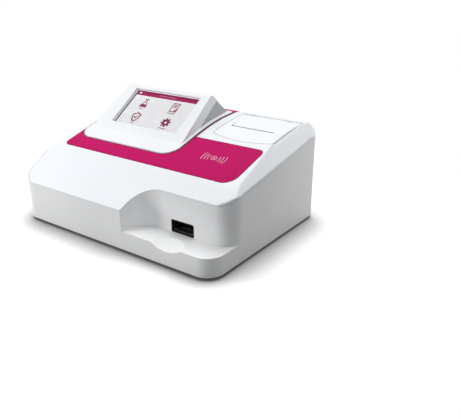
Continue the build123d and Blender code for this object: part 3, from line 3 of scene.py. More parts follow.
import bpy
import numpy as np
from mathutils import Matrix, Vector


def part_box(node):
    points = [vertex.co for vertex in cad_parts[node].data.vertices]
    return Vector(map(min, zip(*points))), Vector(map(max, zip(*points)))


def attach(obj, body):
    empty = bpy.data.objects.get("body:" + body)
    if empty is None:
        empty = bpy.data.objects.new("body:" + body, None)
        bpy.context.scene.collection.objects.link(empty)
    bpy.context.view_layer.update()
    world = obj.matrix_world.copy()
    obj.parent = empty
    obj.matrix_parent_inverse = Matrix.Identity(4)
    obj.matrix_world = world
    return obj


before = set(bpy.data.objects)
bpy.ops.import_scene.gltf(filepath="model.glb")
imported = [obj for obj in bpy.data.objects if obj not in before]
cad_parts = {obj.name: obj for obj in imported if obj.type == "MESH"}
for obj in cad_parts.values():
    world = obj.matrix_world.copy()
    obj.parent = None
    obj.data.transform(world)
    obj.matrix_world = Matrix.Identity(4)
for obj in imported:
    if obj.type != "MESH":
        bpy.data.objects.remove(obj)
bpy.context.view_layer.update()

# Immunoassay analyzer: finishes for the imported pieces, the printed artwork, the screen's page, the
# sockets' contacts and the studio. Metres, in the frame's own axes: X along the front from left to
# right, the front faces -Y, and Z = 0 is the bench.

MM = 0.001
case_low, case_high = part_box("lower_case")

# Shape of the deck, as the casing has it
front_y = case_low.y
rear_y = case_high.y
right_x = case_high.x
foot_height = case_low.z
front_slope = radians(32)
deck_slope = radians(16.2)
crease_y = front_y + 55 * MM
crease_blend = 45 * MM
bend_y = rear_y - 83 * MM
front_edge_z = foot_height + 46.4 * MM

# Artwork on the deck: the overlay, its sign, and dark lines of painted shade along its edges and in the
# gaps beside the flange and the strip
overlay_mark_lift = 0.03 * MM
overlay_left_radius = 8 * MM
overlay_right_radius = 14 * MM
overlay_gap = 0.4 * MM
lobe_to_lid = 8.5 * MM
strip_width = 2.5 * MM
flange_radius = 18 * MM
edge_line = 0.45 * MM
flange_line = 0.8 * MM
flange_line_end = 2 * MM
strip_line = 1.5 * MM

# Sign for contactless reading: radii and line in millimetres, and half the span of each arc in degrees
sign_x = right_x - 64.5 * MM
sign_y = front_y + 91 * MM
sign_dot = 0.9
sign_ring = (3.1, 3.6)
sign_arcs = ((7.6, 36), (11.4, 30), (15.4, 26))
sign_line = 0.5

# Display
face_slope = radians(34)
glass_thickness = 1.1 * MM
glass_overlap = 3.5 * MM

# Screen page: the bar's and the title's shares of the page, and how far each layer lies above the panel
bar_share = 0.134
title_from = 0.38
title_to = 0.64
title_line = 1 * MM
# The grey down the page's left side is partly the display's border and partly painted shade of the glass
# window's inner left wall
shaded_border_width = 3.2 * MM
home_size = (4.6 * MM, 2.4 * MM)
home_radius = 1.1 * MM
home_inset = 4.6 * MM
icon_line = 1.5 * MM
strip_drop = 10.4 * MM
strip_height = 1.3 * MM
bar_lift = 0.02 * MM
shaded_border_lift = 0.03 * MM
icon_lift = 0.05 * MM
mark_lift = 0.08 * MM

# Rear ports
usb_width = 14.5 * MM
usb_tongue_bottom = 0.3 * MM
network_foot = 4.2 * MM
wire_way = (0, -0.92, 0.38)
contact_lift = 0.03 * MM
wire_lift = 0.1 * MM
light_lift = 0.05 * MM

# Contacts, wires and lights in the ports, in millimetres: across from a port's middle, inwards from its
# mouth, and for the lights up from its middle
contact_places = (-3.5, -1, 1, 3.5)
contact_half = 0.5
contact_start = 0.5
contact_end = 8
wire_count = 8
wire_pitch = 1.02
wire_half = 0.2
wire_start = 1.5
light_place = 5.5
light_half = 1.3
light_low = 3.7
light_high = 5.6

# Power switch, with its marks in millimetres
rocker_half = 7.8 * MM
rocker_above_pivot = 5 * MM
rocker_dip = 0.8 * MM
rocker_tilt = radians(7)
pivot_to_face = 5 * MM
rocker_mark_lift = 0.04 * MM
on_bar = (0.4, 2.2)
off_ring = (1.3, 2.0)

# Fineness of the finishes, in features to the metre
flow_marks = 14
sheen_patches = 900
spark_texture = 2600
film_tone = 22
film_sheen = 700
film_emboss = 2200
mark_grain = 1500
brush_lines = 60
tool_spots = 260
tool_marks = 1800
rubber_bloom = 120
rubber_grain = 1500
board_tracks = 420
board_pads = 300
resin_tone = 1200
resin_grain = 2400
card_fibres = 900
finger_smears = 45
lens_coating = 90

# Scales of the finishes that have bands, each 0.3 times the number of them to the metre
belt_ribs = 152
paper_turns = 520
card_joints = 14
cable_rows = 300


# Materials

def new_material(name, colour, roughness, metallic=0.0):
    """A material with one Principled shader; values that are the same all over sit on its sockets."""
    material = bpy.data.materials.new(name)
    material.use_nodes = True
    shader = material.node_tree.nodes["Principled BSDF"]
    shader.inputs["Base Color"].default_value = (*colour, 1)
    shader.inputs["Roughness"].default_value = roughness
    shader.inputs["Metallic"].default_value = metallic
    return material, material.node_tree, shader


def object_place(tree, stretch=(1, 1, 1), centre=(0, 0, 0), turn=(0, 0, 0)):
    """Object coordinates after moving centre to the origin, turning and stretching."""
    place = tree.nodes.new("ShaderNodeTexCoord")
    move = tree.nodes.new("ShaderNodeVectorMath")
    move.operation = "SUBTRACT"
    move.inputs[1].default_value = centre
    mapping = tree.nodes.new("ShaderNodeMapping")
    mapping.inputs["Rotation"].default_value = turn
    mapping.inputs["Scale"].default_value = stretch
    tree.links.new(place.outputs["Object"], move.inputs[0])
    tree.links.new(move.outputs["Vector"], mapping.inputs["Vector"])
    return mapping.outputs["Vector"]


def noise(tree, place, scale, detail=3.0):
    """Fractal noise with scale features to the metre."""
    node = tree.nodes.new("ShaderNodeTexNoise")
    node.inputs["Scale"].default_value = scale
    node.inputs["Detail"].default_value = detail
    tree.links.new(place, node.inputs["Vector"])
    return node.outputs["Fac"]


def cells(tree, place, scale, feature="F1"):
    """Distance to the nearest point of a scattered set with scale points to the metre."""
    node = tree.nodes.new("ShaderNodeTexVoronoi")
    node.feature = feature
    node.inputs["Scale"].default_value = scale
    tree.links.new(place, node.inputs["Vector"])
    return node.outputs["Distance"]


def bands(tree, place, scale, kind="BANDS", axis="X", wobble=0.0):
    """Sine bands along an axis, or rings round it, with about scale / 0.3 of them to the metre."""
    node = tree.nodes.new("ShaderNodeTexWave")
    node.wave_type = kind
    if kind == "BANDS":
        node.bands_direction = axis
    else:
        node.rings_direction = axis
    node.inputs["Scale"].default_value = scale
    node.inputs["Distortion"].default_value = wobble
    tree.links.new(place, node.inputs["Vector"])
    return node.outputs["Fac"]


def number(tree, factor, low, high, start=0.3, end=0.7):
    """A number that goes from low to high as the factor goes from start to end."""
    node = tree.nodes.new("ShaderNodeMapRange")
    for socket, value in zip(("From Min", "From Max", "To Min", "To Max"), (start, end, low, high)):
        node.inputs[socket].default_value = value
    tree.links.new(factor, node.inputs["Value"])
    return node.outputs["Result"]


def mottle(tree, place, scale, detail):
    """Fractal noise spread over the whole range from 0 to 1."""
    return number(tree, noise(tree, place, scale, detail), 0, 1)


def gloss(tree, shader, factor, smooth, rough):
    """Moves the shader's roughness from smooth to rough by a factor."""
    tree.links.new(number(tree, factor, smooth, rough), shader.inputs["Roughness"])


def tint(tree, shader, factor, first, second):
    """Colours the shader from first to second by a factor between 0 and 1. A Mix node has its sockets
    for colours at 6 and 7 and its colour result at 2, after those for numbers and vectors."""
    node = tree.nodes.new("ShaderNodeMix")
    node.data_type = "RGBA"
    node.inputs[6].default_value = (*first, 1)
    node.inputs[7].default_value = (*second, 1)
    tree.links.new(factor, node.inputs[0])
    tree.links.new(node.outputs[2], shader.inputs["Base Color"])


def relief(tree, shader, height, depth, strength=1.0, edge=0.0, samples=6):
    """Bumps of a given depth in metres, over edges that look rounded to the radius edge."""
    bump = tree.nodes.new("ShaderNodeBump")
    bump.inputs["Strength"].default_value = strength
    bump.inputs["Distance"].default_value = depth
    tree.links.new(height, bump.inputs["Height"])
    if edge:
        rounding = tree.nodes.new("ShaderNodeBevel")
        rounding.samples = samples
        rounding.inputs["Radius"].default_value = edge
        tree.links.new(rounding.outputs["Normal"], bump.inputs["Normal"])
    tree.links.new(bump.outputs["Normal"], shader.inputs["Normal"])


def darker(colour, share):
    """A colour with its light cut by a share."""
    return tuple(c * (1 - share) for c in colour)


def moulded(name, colour, roughness=0.42, edge=0.6 * MM, texture=0.012 * MM, variation=0.03):
    """Injection-moulded plastic: a fine spark-eroded texture, faint flow marks and softened edges."""
    material, tree, shader = new_material(name, colour, roughness)
    place = object_place(tree)
    tint(tree, shader, mottle(tree, place, flow_marks, 2), darker(colour, variation), colour)
    gloss(tree, shader, noise(tree, place, sheen_patches, 2), roughness - 0.04, roughness + 0.06)
    relief(tree, shader, noise(tree, place, spark_texture, 2), texture, 0.5, edge)
    return material


def printed_film(name, colour, roughness=0.45, specular=0.04, emboss=0.006 * MM, edge=0.2 * MM):
    """Screen-printed polyester film: an even colour with a very fine leather-like emboss."""
    material, tree, shader = new_material(name, colour, roughness)
    shader.inputs["Specular IOR Level"].default_value = specular
    place = object_place(tree)
    tint(tree, shader, mottle(tree, place, film_tone, 2), darker(colour, 0.05), colour)
    gloss(tree, shader, noise(tree, place, film_sheen, 3), roughness - 0.03, roughness + 0.07)
    relief(tree, shader, cells(tree, place, film_emboss), emboss, 0.35, edge)
    return material


def flat_mark(name, colour, roughness=0.45, glow=0.0, specular=0.15):
    """A flat colour with a faint unevenness of its layer, for printed marks, lit marks on the screen and
    lines of painted shade.
    """
    material, tree, shader = new_material(name, colour, roughness)
    shader.inputs["Specular IOR Level"].default_value = specular
    place = object_place(tree)
    tint(tree, shader, mottle(tree, place, mark_grain, 2), darker(colour, 0.06), colour)
    if glow:
        shader.inputs["Emission Color"].default_value = (*colour, 1)
        shader.inputs["Emission Strength"].default_value = glow
    return material


def brushed(name, colour, roughness=0.34, stretch=(1, 60, 60), depth=0.004 * MM, edge=0.2 * MM):
    """Rolled or drawn metal: fine lines along the axis that isn't stretched."""
    material, tree, shader = new_material(name, colour, roughness, 1.0)
    lines = noise(tree, object_place(tree, stretch), brush_lines, 4)
    tint(tree, shader, number(tree, lines, 0, 1), darker(colour, 0.14), colour)
    gloss(tree, shader, lines, roughness - 0.06, roughness + 0.1)
    relief(tree, shader, lines, depth, 0.6, edge)
    return material


def turned(name, colour, roughness, depth=0.003 * MM, edge=0.15 * MM):
    """Turned or plated metal: short tool marks and a few dull spots."""
    material, tree, shader = new_material(name, colour, roughness, 1.0)
    place = object_place(tree)
    spots = noise(tree, place, tool_spots, 3)
    tint(tree, shader, number(tree, spots, 0, 1), darker(colour, 0.1), colour)
    gloss(tree, shader, spots, roughness - 0.03, roughness + 0.08)
    relief(tree, shader, noise(tree, place, tool_marks, 2), depth, 0.5, edge)
    return material


def rubber(name, colour, roughness=0.78, ribs=0, rib_depth=0.25 * MM, grain_depth=0.03 * MM):
    """Rubber with a pale bloom: a matt grain, or ribs across Y where a number of them is given."""
    material, tree, shader = new_material(name, colour, roughness)
    place = object_place(tree)
    pale = tuple(c * 1.6 + 0.004 for c in colour)
    tint(tree, shader, mottle(tree, place, rubber_bloom, 4), colour, pale)
    if ribs:
        relief(tree, shader, bands(tree, place, ribs, "BANDS", "Y"), rib_depth, 0.6)
    else:
        relief(tree, shader, noise(tree, place, rubber_grain, 3), grain_depth, 0.6)
    return material


def circuit(name, colour=(0.012, 0.135, 0.055), track=(0.03, 0.24, 0.10), relief_depth=0.03 * MM):
    """A circuit board: solder mask over a maze of thin tracks, with tinned pads scattered on it. The
    tracks follow the borders between scattered cells, and the pads lie round the points of other ones."""
    mask_roughness, pad_roughness = 0.32, 0.2
    material, tree, shader = new_material(name, colour, mask_roughness)
    flat = object_place(tree, (1, 1, 0.2))
    borders = cells(tree, flat, board_tracks, "DISTANCE_TO_EDGE")
    tracks = number(tree, borders, 1, 0, 0.05, 0.09)
    tint(tree, shader, tracks, colour, track)
    pads = number(tree, cells(tree, object_place(tree), board_pads), 1, 0, 0.10, 0.14)
    dull = number(tree, pads, mask_roughness, pad_roughness, 0, 1)
    tree.links.new(dull, shader.inputs["Roughness"])
    tree.links.new(pads, shader.inputs["Metallic"])
    relief(tree, shader, tracks, relief_depth, 0.5)
    return material


def chip_resin(name, colour=(0.026, 0.026, 0.029), pale=(0.05, 0.05, 0.055), depth=0.02 * MM):
    """Moulded resin of chips and the sleeves of capacitors, dark with a sandy grain."""
    material, tree, shader = new_material(name, colour, 0.55)
    place = object_place(tree)
    tint(tree, shader, mottle(tree, place, resin_tone, 3), colour, pale)
    relief(tree, shader, noise(tree, place, resin_grain, 2), depth, 0.6, 0.2 * MM)
    return material


def thermal_paper(name, centre, colour=(0.86, 0.85, 0.82), depth=0.03 * MM):
    """A wound roll of thermal paper: rings of its turns on the ends, and a smooth coated surface."""
    material, tree, shader = new_material(name, colour, 0.62)
    turns = bands(tree, object_place(tree, centre=centre), paper_turns, "RINGS", "X", 0.3)
    tint(tree, shader, number(tree, turns, 0, 1, 0, 1), darker(colour, 0.16), colour)
    relief(tree, shader, turns, depth, 0.5)
    return material


def wound_card(name, centre, colour=(0.42, 0.31, 0.20), lean=0.5, depth=0.05 * MM):
    """Grey-brown card tube with fibre flecks and a spiral joint, which leans by some radians."""
    material, tree, shader = new_material(name, colour, 0.85)
    place = object_place(tree, centre=centre, turn=(0, 0, lean))
    joint = bands(tree, place, card_joints)
    tint(tree, shader, number(tree, joint, 0, 1, 0.02, 0.08), darker(colour, 0.5), colour)
    relief(tree, shader, noise(tree, place, card_fibres, 4), depth, 0.6)
    return material


def clear_glass(name, colour=(0.06, 0.06, 0.065), alpha=0.07, roughness=0.12, index=1.5):
    """Clear hard-coated glass, mostly seen through, with a soft gloss and a faint smear of fingers."""
    material, tree, shader = new_material(name, colour, roughness)
    shader.inputs["Alpha"].default_value = alpha
    shader.inputs["IOR"].default_value = index
    smear = noise(tree, object_place(tree), finger_smears, 4)
    gloss(tree, shader, smear, roughness - 0.04, roughness + 0.08)
    return material


def optic_glass(name, colour=(0.82, 0.92, 0.95), index=1.52, clear=0.9):
    """Polished and coated optical glass with a faint cast that goes from cool to violet."""
    material, tree, shader = new_material(name, colour, 0.02)
    shader.inputs["Transmission Weight"].default_value = clear
    shader.inputs["IOR"].default_value = index
    coating = mottle(tree, object_place(tree), lens_coating, 2)
    tint(tree, shader, coating, (0.78, 0.90, 0.96), (0.88, 0.86, 0.96))
    return material


def flat_cable(name, film=(0.55, 0.25, 0.05), copper=(0.75, 0.42, 0.14), depth=0.05 * MM):
    """Flexible flat cable: copper conductors in rows under an amber film."""
    material, tree, shader = new_material(name, film, 0.3)
    rows = bands(tree, object_place(tree), cable_rows)
    tint(tree, shader, number(tree, rows, 0, 1, 0.45, 0.55), film, copper)
    relief(tree, shader, rows, depth, 0.5)
    return material


def soft_shoulders(material, wide=5 * MM, from_side=17 * MM, from_rear=14 * MM, fade=3 * MM, samples=10):
    """Lets the casing's long edges look more rounded: near its sides, and short of its rear. The radius
    grows to wide with the product of two shares, one of the distance across and one of that along."""
    tree = material.node_tree
    rounding = next(node for node in tree.nodes if node.type == "BEVEL")
    edge = rounding.inputs["Radius"].default_value
    place = tree.nodes.new("ShaderNodeTexCoord")
    split = tree.nodes.new("ShaderNodeSeparateXYZ")
    across = tree.nodes.new("ShaderNodeMath")
    across.operation = "ABSOLUTE"
    tree.links.new(place.outputs["Object"], split.inputs[0])
    tree.links.new(split.outputs["X"], across.inputs[0])
    side = right_x - from_side
    rear = rear_y - from_rear
    share = tree.nodes.new("ShaderNodeMath")
    share.operation = "MULTIPLY"
    tree.links.new(number(tree, across.outputs[0], 0, 1, side, side + fade), share.inputs[0])
    tree.links.new(number(tree, split.outputs["Y"], 1, 0, rear, rear + fade), share.inputs[1])
    tree.links.new(number(tree, share.outputs[0], edge, wide, 0, 1), rounding.inputs["Radius"])
    rounding.samples = samples


def dress(names, material):
    """Gives CAD nodes their finish."""
    for name in names.split():
        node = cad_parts[name]
        node.data.materials.clear()
        node.data.materials.append(material)


def box_centre(name):
    """The middle of a node's box."""
    low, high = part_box(name)
    return tuple((low + high) / 2)


white_case = moulded("white_case_plastic", (0.84, 0.845, 0.85), 0.44)
white_cover = moulded("white_cover_plastic", (0.82, 0.84, 0.87), 0.40)
lid_white = moulded("white_lid_plastic", (0.85, 0.865, 0.885), 0.38, 0.4 * MM)
bezel_white = moulded("white_bezel_plastic", (0.82, 0.84, 0.86), 0.36, 0.5 * MM)
shell_grey = moulded("grey_shell_plastic", (0.44, 0.45, 0.45), 0.42)
magenta_film = printed_film("magenta_film", (0.51, 0.004, 0.115))
black_satin = moulded("black_satin_plastic", (0.010, 0.010, 0.011), 0.38, 0.3 * MM, 0.01 * MM, 0.2)
dark_plastic = moulded("dark_frame_plastic", (0.035, 0.036, 0.040), 0.48, 0.3 * MM, 0.02 * MM, 0.15)
acetal = moulded("acetal_gear_plastic", (0.78, 0.76, 0.70), 0.36, 0.1 * MM, 0.008 * MM, 0.05)
screen_glass = clear_glass("touch_glass_clear")
screen_face = flat_mark("display_page_grey", (0.76, 0.76, 0.77), 0.4, 0.6)
folded_steel = brushed("folded_steel", (0.56, 0.56, 0.57))
bright_steel = turned("bright_steel", (0.72, 0.72, 0.73), 0.20)
machined_alloy = brushed("machined_alloy", (0.68, 0.69, 0.70), 0.30, (40, 1, 40))
black_alloy = turned("black_anodised_alloy", (0.035, 0.035, 0.040), 0.42)
bronze = turned("sintered_bronze", (0.60, 0.41, 0.20), 0.42, 0.01 * MM)
foot_rubber = rubber("foot_rubber", (0.022, 0.022, 0.024))
belt_rubber = rubber("belt_rubber", (0.018, 0.018, 0.018), 0.7, belt_ribs)
platen_rubber = rubber("platen_rubber", (0.035, 0.035, 0.036), 0.6)
green_board = circuit("green_circuit_board")
chip_black = chip_resin("chip_resin")
paper_white = thermal_paper("thermal_paper", box_centre("paper_roll"))
core_card = wound_card("wound_card", box_centre("roll_core"))
lens_glass = optic_glass("coated_lens_glass")
amber_cable = flat_cable("amber_flat_cable")

dress("lower_case printer_frame", white_case)
soft_shoulders(white_cover)
dress("upper_cover", white_cover)
dress("printer_lid", lid_white)
dress("display_bezel", bezel_white)
dress("display_rear_shell", shell_grey)
dress("colour_overlay", magenta_film)
dress("slot_liner cassette_tray power_jack rocker_housing power_rocker", black_satin)
dress("roll_spindle carriage_block belt_clip rear_panel", dark_plastic)
dress("platen_gear transfer_gear", acetal)
dress("touch_glass", screen_glass)
dress("lcd_panel", screen_face)
dress("display_frame chassis_plate motor_bracket idler_bracket printer_motor", folded_steel)
dress("case_screws display_screws panel_screws chassis_screws lid_hinge_pin platen_shaft", bright_steel)
dress("guide_rods motor_shaft excitation_led usb_ports lan_port", bright_steel)
dress("print_head rod_brackets drive_pulley idler_pulley", machined_alloy)
dress("stepper_motor optics_bridge optical_block lens_barrel", black_alloy)
dress("platen_bushes carriage_bushes motor_pinion", bronze)
dress("rubber_feet", foot_rubber)
dress("timing_belt", belt_rubber)
dress("platen_roller", platen_rubber)
dress("main_board display_board detector_board reader_board", green_board)
dress("board_parts", chip_black)
dress("paper_roll", paper_white)
dress("roll_core", core_card)
dress("beam_splitter objective_lens", lens_glass)
dress("display_ribbon", amber_cable)


# Shapes in a plane, as vertices and faces

def stroke(path, width, closed=False, same_point=1e-7):
    """A line of even width: each point of the path moves half the width along its normal, both ways. At
    a bend the normal is the mean of its neighbours', lengthened by one over the cosine of half the bend,
    up to twice. Points that repeat the one before are left out."""
    path = np.asarray(path, float)
    path = path[np.append(True, np.linalg.norm(np.diff(path, axis=0), axis=1) > same_point)]
    ahead = np.roll(path, -1, 0) - path
    if not closed:
        ahead[-1] = ahead[-2]
    behind = np.roll(ahead, 1, 0)
    if not closed:
        behind[0] = ahead[0]
    ahead /= np.linalg.norm(ahead, axis=1)[:, None]
    behind /= np.linalg.norm(behind, axis=1)[:, None]
    normal = np.stack([-(ahead + behind)[:, 1], (ahead + behind)[:, 0]], 1)
    normal /= np.linalg.norm(normal, axis=1)[:, None]
    side = np.stack([-ahead[:, 1], ahead[:, 0]], 1)
    reach = width / 2 / np.clip((normal * side).sum(1), 0.5, 1)
    offset = normal * reach[:, None]
    vertices = np.concatenate([path + offset, path - offset])
    n = len(path)
    i = np.arange(n if closed else n - 1)
    j = (i + 1) % n
    return vertices, np.stack([i, i + n, j + n, j], 1)


def ring(inner, outer):
    """A band between two closed curves of equal point count."""
    n = len(inner)
    i = np.arange(n)
    j = (i + 1) % n
    return np.concatenate([np.asarray(inner, float), outer]), np.stack([i, i + n, j + n, j], 1)


def disc(outline, pinhole=0.001):
    """A filled shape round its own middle: thin quads from a copy of the outline, shrunk to a pinhole."""
    outline = np.asarray(outline, float)
    middle = outline.mean(0)
    return ring(middle + (outline - middle) * pinhole, outline)


def bar(x0, y0, x1, y1):
    """A filled rectangle between two corners."""
    return np.array([(x0, y0), (x1, y0), (x1, y1), (x0, y1)], float), np.array([(0, 1, 2, 3)])


def bar_mm(x0, y0, x1, y1):
    """A filled rectangle with corners in millimetres."""
    points, quads = bar(x0, y0, x1, y1)
    return points * MM, quads


def run(start, end, steps=48):
    """Points along a straight line, close enough to follow a curved surface."""
    return np.linspace(start, end, steps)


def arc(x, y, radius, start, end, steps=16):
    """Points on a circle from one angle to another, in degrees."""
    angle = np.radians(np.linspace(start, end, steps))
    return np.stack([x + radius * np.cos(angle), y + radius * np.sin(angle)], 1)


def circle(radius, steps):
    """Points all round a circle about the origin, each of them once."""
    return arc(0, 0, radius, 0, 360 - 360 / steps, steps)


def rounded_box(width, height, radius, steps=6):
    """A rectangle round the origin with quarter circles at its corners, anticlockwise."""
    corners = ((1, 1, 0), (-1, 1, 90), (-1, -1, 180), (1, -1, 270))
    return np.concatenate([
        arc(sx * (width / 2 - radius), sy * (height / 2 - radius), radius, start, start + 90, steps)
        for sx, sy, start in corners
    ])


def joined(parts, shift=(0, 0), size=1.0):
    """Several flat shapes as one, each point times size plus shift."""
    vertices, faces, count = [], [], 0
    for points, quads in parts:
        vertices.append(points * size + np.asarray(shift))
        faces.append(quads + count)
        count += len(points)
    return np.concatenate(vertices), np.concatenate(faces)


def add_piece(name, vertices, faces, material, body):
    """A mesh piece that rides on a body and has the finish it is given."""
    mesh = bpy.data.meshes.new(name)
    mesh.from_pydata(vertices.tolist(), [], faces.tolist())
    mesh.materials.append(material)
    piece = bpy.data.objects.new(name, mesh)
    bpy.context.scene.collection.objects.link(piece)
    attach(piece, body)


# Deck surface

def deck_height(y):
    """Height of the deck at y: the front slope, an arc that blends the crease, the deck's slope, and
    the arc that levels out at the rear. Each blend is a circle tangent to the lines beside it."""
    y = np.asarray(y, float)
    crease_z = front_edge_z + (crease_y - front_y) * tan(front_slope)
    reach = crease_blend * tan((front_slope - deck_slope) / 2)
    start = crease_y - reach * cos(front_slope)
    end = crease_y + reach * cos(deck_slope)
    centre_y = end + crease_blend * sin(deck_slope)
    centre_z = crease_z + reach * sin(deck_slope) - crease_blend * cos(deck_slope)
    blend = centre_z + np.sqrt(np.clip(crease_blend**2 - (centre_y - y) ** 2, 0, None))
    front = front_edge_z + (y - front_y) * tan(front_slope)
    deck = crease_z + (y - crease_y) * tan(deck_slope)
    bow = (rear_y - bend_y) / sin(deck_slope)
    top = crease_z + (bend_y - crease_y) * tan(deck_slope) + bow * (1 - cos(deck_slope))
    rear = top - bow + np.sqrt(np.clip(bow**2 - (rear_y - y) ** 2, 0, None))
    return np.select([y < start, y < end, y < bend_y], [front, blend, deck], rear)


def on_deck(points, lift):
    """Points seen from above, set on the deck and lifted off it."""
    return np.column_stack([points, deck_height(points[:, 1]) + lift])


# Overlay artwork: thin dark lines of painted shade along its edges, a wider line of painted shadow in the
# gap beside the display's flange, and the printed sign for contactless reading
overlay_low, overlay_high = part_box("colour_overlay")
flange_low, flange_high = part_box("display_bezel")
lid_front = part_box("printer_lid")[0].y
# Dark maroon paints the shade in the gaps round the overlay and beside the flange; only the sign is print
edge_shade_paint = flat_mark("overlay_edge_painted_shade", (0.075, 0.006, 0.03))
flange_shadow_paint = flat_mark("overlay_flange_painted_shadow", (0.06, 0.006, 0.022))
sign_ink = flat_mark("symbol_white_ink", (0.84, 0.74, 0.80))


def flange_front(grow):
    """The flange's outline from its left side round the front to its right side, grown outwards."""
    left, right = flange_low.x - grow, flange_high.x + grow
    radius = flange_radius + grow
    back = flange_low.y + flange_radius
    return np.concatenate([
        run((left, flange_high.y), (left, back)),
        arc(left + radius, back, radius, 180, 270),
        arc(right - radius, back, radius, 270, 360),
        run((right, back), (right, back + flange_line_end), 3),
    ])


def overlay_edge(inset):
    """The overlay's outline from its rear left corner round the front to the lobe's rear edge."""
    left, right = overlay_low.x + inset, overlay_high.x - inset
    front, back = overlay_low.y + inset, lid_front - lobe_to_lid - inset
    first, second = overlay_left_radius - inset, overlay_right_radius - inset
    strip = flange_high.x + strip_width - inset
    return np.concatenate([
        run((left, overlay_high.y), (left, front + first)),
        arc(left + first, front + first, first, 180, 270),
        arc(right - second, front + second, second, 270, 360),
        arc(right - first, back - first, first, 0, 90),
        [(strip, back)],
        run((strip, back), (strip, overlay_high.y)),
    ])


def contactless_sign():
    """A small ring with a dot, and three arcs on each side that widen outwards."""
    inner, outer = sign_ring
    parts = [ring(circle(inner, 60), circle(outer, 60)), disc(circle(sign_dot, 24))]
    for radius, span in sign_arcs:
        for middle in (0, 180):
            parts.append(stroke(arc(0, 0, radius, middle - span, middle + span, 24), sign_line))
    points, faces = joined(parts, size=MM)
    return points * (1, cos(deck_slope)) + (sign_x, sign_y), faces


def overlay_artwork():
    """Lays the lines of painted shade and the printed sign on the overlay. Those that cross the edge line
    lie above it.
    """
    beside_flange = flange_front(overlay_gap + flange_line / 2)
    strip_x = flange_high.x + overlay_gap + strip_line / 2
    along_strip = run((strip_x, flange_low.y + flange_radius), (strip_x, flange_high.y), 80)
    marks = (
        # The first three marks are painted shade and painted shadow in the gaps, the last is the printed
        # sign
        ("overlay_edge_painted_shade_line", stroke(overlay_edge(edge_line / 2), edge_line), edge_shade_paint, overlay_mark_lift),
        ("flange_gap_painted_shadow", stroke(beside_flange, flange_line), flange_shadow_paint, 2 * overlay_mark_lift),
        ("strip_gap_painted_shadow", stroke(along_strip, strip_line), flange_shadow_paint, 2 * overlay_mark_lift),
        ("contactless_sign", contactless_sign(), sign_ink, overlay_mark_lift),
    )
    for name, (points, faces), material, lift in marks:
        add_piece(name, on_deck(points, lift), faces, material, "casing")


overlay_artwork()

# Screen plane, from the glass: its front face's lower edge, the way right, up and out
screen_right = np.array([1, 0, 0])
glass_low, glass_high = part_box("touch_glass")
screen_up = np.array([0, cos(face_slope), sin(face_slope)])
screen_out = np.array([0, -sin(face_slope), cos(face_slope)])
glass_foot = np.array([glass_low.x, glass_low.y, glass_low.z + glass_thickness * cos(face_slope)])
glass_width = glass_high.x - glass_low.x
glass_height = (glass_high.y - glass_low.y - glass_thickness * sin(face_slope)) / cos(face_slope)
page_width = glass_width - 2 * glass_overlap
page_height = glass_height - 2 * glass_overlap
page_corner = glass_foot + glass_overlap * (screen_up + screen_right)
page_origin = page_corner - glass_thickness * screen_out


def on_screen(points, lift):
    """Points in metres from the page's lower left corner, set on the display under the glass."""
    across = points[:, :1] * screen_right
    up = points[:, 1:] * screen_up
    return page_origin + across + up + lift * screen_out


# Screen page: a bar along the top, and four pictograms with a plain strip under each
screen_magenta = flat_mark("screen_magenta", (0.34, 0.004, 0.085), 0.4, 0.12)
screen_icons = flat_mark("screen_pictogram_magenta", (0.22, 0.003, 0.065), 0.4, 0.1)
screen_pink = flat_mark("screen_title_pink", (0.60, 0.22, 0.36), 0.4, 0.12)
screen_white = flat_mark("screen_white", (0.85, 0.80, 0.83), 0.4, 0.3)
screen_grey = flat_mark("screen_caption_grey", (0.30, 0.22, 0.26), 0.4, 0.05)
# Grey for the page's left side: partly the display's border, partly painted shade of the window's inner
# left wall
screen_shaded_border = flat_mark("screen_border_shade_grey", (0.24, 0.24, 0.245), 0.4)


def flask_icon():
    """A conical flask: a neck with a lip, sides that slope to a foot with cut corners, and liquid."""
    right = [(1.5, 7.0), (1.5, 2.2), (5.6, -4.6), (4.8, -6.2)]
    outline = np.array([(-x, y) for x, y in right] + right[::-1])
    lip = bar_mm(-2.6, 6.4, 2.6, 7.8)
    liquid, faces = disc([(-4.7, -5.4), (4.7, -5.4), (2.9, -1.6), (-2.9, -1.6)])
    return [stroke(outline * MM, icon_line * 0.8), lip, (liquid * MM, faces)]


def report_icon(width=10 * MM, height=13.5 * MM, corner=0.4 * MM, pen_width=2.4 * MM):
    """A sheet with three bars for its lines of writing, and a pen across its lower corner."""
    sheet = rounded_box(width, height, corner)
    lines = [bar_mm(-3.2, low, 3.2, low + 1.1) for low in (3.6, 1.6, -0.4)]
    pen = stroke(np.array([(1.6, -6.0), (5.4, -2.2)]) * MM, pen_width)
    return [stroke(sheet, icon_line * 0.9, True), *lines, pen]


def shield_icon(half_width=6.0, height=11.0, shoulder=4.2):
    """A shield with a tick. Its top dips at both sides of the middle. Each side follows an angle from 0
    to 90 degrees: across by the cosine to the power 0.8, down by the sine to the power 1.6."""
    angle = np.linspace(0, 1, 14) * pi / 2
    across = half_width * np.cos(angle) ** 0.8
    up = shoulder - height * np.sin(angle) ** 1.6
    top = np.array([(0, 6.8), (3.0, 5.2)])
    right = np.concatenate([top, np.stack([across, up], 1)])
    left = right[1:-1][::-1] * (-1, 1)
    tick = np.array([(-2.6, 0.2), (-0.6, -1.8), (3.0, 2.4)])
    line = icon_line * 1.2
    return [stroke(np.concatenate([right, left]) * MM, line, True), stroke(tick * MM, line)]


def gear_icon(teeth=8, root=5.2, tooth=2.2, bore=1.9, steepness=9, widening=0.15):
    """A gear wheel: a smooth step of the sine of teeth times the angle takes the radius from root to
    root plus tooth. The widening, added to the sine, makes the teeth wider than the gaps."""
    angle = np.linspace(0, 2 * pi, 160, endpoint=False)
    crest = 1 / (1 + np.exp(-steepness * (np.sin(teeth * angle) + widening)))
    radius = (root + tooth * crest) * MM
    round_way = np.stack([np.cos(angle), np.sin(angle)], 1)
    return [ring(round_way * bore * MM, round_way * radius[:, None])]


